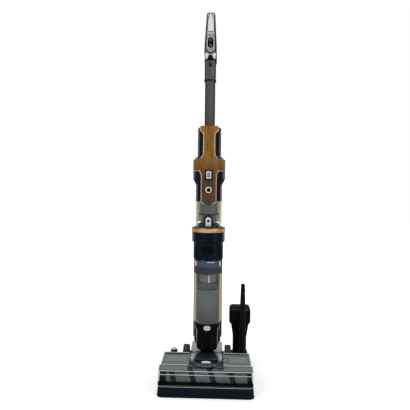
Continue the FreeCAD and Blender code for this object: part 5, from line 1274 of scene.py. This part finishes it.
def tube_fittings():
    tube, sleeve = Span("handle_tube"), Span("handle_collar")
    x, y, foot, top = tube.right - 3.2, tube.front + 0.4, sleeve.foot, sleeve.top
    fit_pair("tube_lines", "handle", "gloss", [(x, y, 765), (x, y, 905)], 0.35)
    outer, inner = oblong(18.5, 15.8, 8), oblong(16.2, 13.4, 7)
    for name, low, high in (
        ("sleeve_foot", foot + 0.1, foot + 3.2), ("sleeve_head", top - 3.6, top - 0.1)
    ):
        fit(soften(hoop(name, outer, inner, low, high), 0.5), "handle", "gloss")
    slot = slab("sleeve_slot", oblong(3.6, 6.6, 1.2, (0.6, top - 15.3)), -15.1, -13.4)
    fit(slot, "handle", "gloss")
    tab = oblong(2.6, 2.4, 0.8, (0.6, top - 12.4))
    fit_plate("sleeve_tab", "handle", "charcoal", tab, (-15.7, -14.4), 0.3)


def handle_front(level):
    """How far forward the front of the handle stands at a level."""
    loop = Span("handle_frame")
    rise, lean, sharpness = 66, 18, 1.25
    return loop.front + lean * (max(level - loop.top + rise, 0) / rise) ** sharpness


def handle_fittings():
    loop, pad, window = Span("handle_frame"), Span("control_pad"), Span("handle_window")
    foot, front = loop.foot, loop.front
    throat = rounded([(-9.6, foot + 0.4), (9.6, foot + 0.4), (7.6, foot + 7, 3),
                      (3.4, foot + 15, 1.5), (-3.4, foot + 15, 1.5), (-7.6, foot + 7, 3)])
    fit_plate("handle_throat", "handle", "gloss", throat, (front - 0.5, front + 1.2), 0.4)
    middle = (0, foot + 33)
    smile = arc(middle, 13.4, 14.4, 188, 344, 12) + arc(middle, 10.6, 9.8, 344, 188, -12)
    fit_plate("handle_smile", "handle", "gloss", smile, (front - 0.6, front + 1.2), 0.35)
    wing = [(10.6, foot + 1.4, 1), (14.6, foot + 3.2, 2), (16.4, foot + 16, 2),
            (15.6, foot + 24, 2), (11.6, foot + 19, 2), (5.4, foot + 16.4, 1), (8.6, foot + 8, 1)]
    plate = slab("throat_wings", rounded(wing), front - 0.25, front + 3.0)
    fit(mirrored(soften(plate, 0.4)), "handle", "pale")

    half, high = (pad.right - pad.left) / 2, (pad.top - pad.foot) / 2
    path = upright(oblong(half + 0.9, high + 0.9, half + 0.85, (0, pad.z)), pad.front + 0.5)
    fit_line("pad_ring", "handle", "silver", path, 0.75, closed=True)
    round_crown()
    for name in ("power_key", "mode_key"):
        key = Span(name)
        path = upright(oblong(3.2, 3.2, 3.15, (0, key.z)), key.front)
        fit_line(f"{name}_ring", name, "steel", path, 0.35, closed=True)

    path, steps, start, side, taper = [], 24, foot + 22, 18.6, 6.2
    for n in range(steps + 1):
        z = foot + 34 + (loop.top - foot - 46) * n / steps
        share = (z - start) / (loop.top - start)
        path.append((side - taper * share, handle_front(z) + 4.4, z))
    fit_pair("handle_side_lines", "handle", "gloss", path, 0.5)
    path = [(x, handle_front(z) - 0.55, z) for x, z in window_edge(window)]
    fit_line("window_border", "handle", "charcoal", path, 0.6, closed=True)
    bar = (9.5, 0.8, 0.7, (0, foot + 44))
    fit_bars("grip_ribs", "handle", "gloss", bar, (9.3, 10.6), 9, (0, 0, 4.2))
    dot = [(0, -0.4), (0.9, -0.4), (0.9, 0.3), (0, 0.6)]
    dot = lathe("grip_dots", dot, "X", (18.6, -4.5, foot + 38), 10)
    fit(mirrored(row(dot, "gloss", 12, (0, 0, 3.4))), "handle", "gloss")


def round_crown():
    """The handle's own shape, its crown rounded from side to side."""
    loop = Span("handle_frame")
    half, rise, clear = 13.8, 14.3, 21
    spring = loop.top - rise
    arch = arc((0, spring), half, rise, 0, 180, 9)
    outline = [(-clear, loop.foot - 1), (clear, loop.foot - 1), (clear, spring - 60), *arch,
               (-clear, spring - 60)]
    cutter = slab("crown_cut", outline, loop.front - 2, loop.back + 2)
    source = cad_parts["handle_frame"]
    made = form("handle_loop", [])
    made.data = source.data.copy()
    made.data.transform(source.matrix_world)
    cut = made.modifiers.new("crown", "BOOLEAN")
    cut.operation = "INTERSECT"
    cut.object = cutter
    fit(settle(made), "handle", "handle", "handle_frame")
    bpy.data.objects.remove(cutter)


def window_edge(window):
    """The outline of the arched window."""
    low, high = window.foot + 0.2, window.top - 0.2
    corners = [(-10.6, low, 3), (10.6, low, 3), (9.0, high - 22, 12), (3, high, 3), (-3, high, 3),
               (-9.0, high - 22, 12)]
    return between(rounded(corners), 4, closed=True)


def add_fittings():
    for group in (
        dock_fittings, crevice_fittings, mini_brush_fittings, roller_pile, cover_fittings,
        wing_fittings, neck_hump, wheel_fittings, panel_fittings, arm_fittings, tank_fittings,
        clean_tank_fittings, spine_fittings, collar_fittings, ring_fittings, cup_fittings,
        strip_edges, vac_fittings, battery_fittings, tube_fittings, handle_fittings,
    ):
        group()


# ---------------------------------------------------------------- studio

EYE = Vector((0.028, -1.279, 0.5425))
AIM = Vector((-0.0118, 0.0, 0.5262))
ROLL = math.radians(0.68)
LENS = 36.2
LAMPS = (  # name, place, size, power
    ("key", (-1.9, -2.1, 2.1), (1.3, 1.6), 34),
    ("fill", (2.1, -1.7, 1.3), (1.0, 1.8), 22),
    ("overhead", (0.1, 0.3, 2.9), (1.6, 1.2), 26),
    ("rim_right", (1.5, 1.3, 1.0), (0.5, 1.8), 5),
    ("rim_left", (-1.6, 1.3, 0.9), (0.5, 1.8), 4),
)


def put(name, data, place, aim, roll=0.0):
    """Sets a camera or a lamp at a place, turned towards its aim."""
    made = bpy.data.objects.new(name, data)
    bpy.context.scene.collection.objects.link(made)
    turn = (aim - place).to_track_quat("-Z", "Y").to_matrix().to_4x4()
    made.matrix_world = Matrix.Translation(place) @ turn @ Matrix.Rotation(roll, 4, "Z")
    return made


def set_camera():
    data = bpy.data.cameras.new("view_camera")
    data.lens = LENS
    data.sensor_width = 36
    data.clip_end = 60
    bpy.context.scene.camera = put("view_camera", data, EYE, AIM, ROLL)


def seen_directly(graph):
    """1 for rays from the eye or through glass, then 1 for rays in a mirror."""
    path = graph.node("ShaderNodeLightPath").socket.node
    kinds = ("Is Camera Ray", "Is Glossy Ray", "Is Transmission Ray")
    eye, mirror, glass = (Wire(graph, path.outputs[kind]) for kind in kinds)
    return graph.math("MINIMUM", eye + glass, 1.0), mirror


def set_world():
    """White to the eye, soft all round, and darker in mirrors so that dark plastic stays dark."""
    world = bpy.data.worlds.new("studio")
    bpy.context.scene.world = world
    world.use_nodes = True
    graph = Graph(world.node_tree)
    graph.tree.nodes.clear()
    eye, mirror = seen_directly(graph)
    heading = graph.parts(graph.node("ShaderNodeTexCoord", out="Generated"))
    behind = graph.math("MULTIPLY_ADD", heading[2], 0.5, 0.08)
    behind = graph.math("MINIMUM", graph.math("MAXIMUM", behind, 0.05), 0.6)
    ambient = 0.55
    level = graph.math("MAXIMUM", eye, mirror * behind + (1 - mirror) * ambient)
    sockets = {"Color": (1, 1, 1, 1), "Strength": level}
    light = graph.node("ShaderNodeBackground", sockets=sockets)
    output = graph.tree.nodes.new("ShaderNodeOutputWorld")
    graph.feed(output.inputs["Surface"], light)


def set_lamps():
    for name, place, (wide, high), power in LAMPS:
        data = bpy.data.lights.new(name, "AREA")
        data.shape = "RECTANGLE"
        data.size, data.size_y = wide, high
        data.energy = power
        put(name, data, Vector(place), Vector((0, 0, 0.55))).visible_camera = False


def set_floor():
    """A plain pale floor that rises to white with distance and stays darker in mirrors."""
    reach = 9.0
    mesh = bpy.data.meshes.new("floor")
    corners = [(-reach, -reach, 0), (reach, -reach, 0), (reach, reach, 0), (-reach, reach, 0)]
    mesh.from_pydata(corners, [], [(0, 1, 2, 3)])
    floor = bpy.data.objects.new("floor", mesh)
    bpy.context.scene.collection.objects.link(floor)
    made = Finish("floor_white", {"Roughness": 0.9, "Specular IOR Level": 0.1})
    eye, mirror = seen_directly(made)
    haze = made.grain(3, 2)
    across, deep, _ = made.parts(made.place)
    away = made.math("SQRT", across * across + deep * deep)
    lift = 0.22 + made.step(away, 0.35, 1.6) * 0.6
    pale = made.mix(mirror, paint(240, 240, 240), paint(96, 98, 102))
    made.give(
        {
            "Base Color": made.tint(pale, 0.985 + haze * 0.03),
            "Emission Color": made.tint(paint(255, 255, 255), eye * lift),
            "Emission Strength": 1.0,
        }
    )
    mesh.materials.append(made.material)


dress_nodes()
add_fittings()
bpy.context.scene.view_settings.view_transform = "Standard"
set_camera()
set_world()
set_floor()
set_lamps()
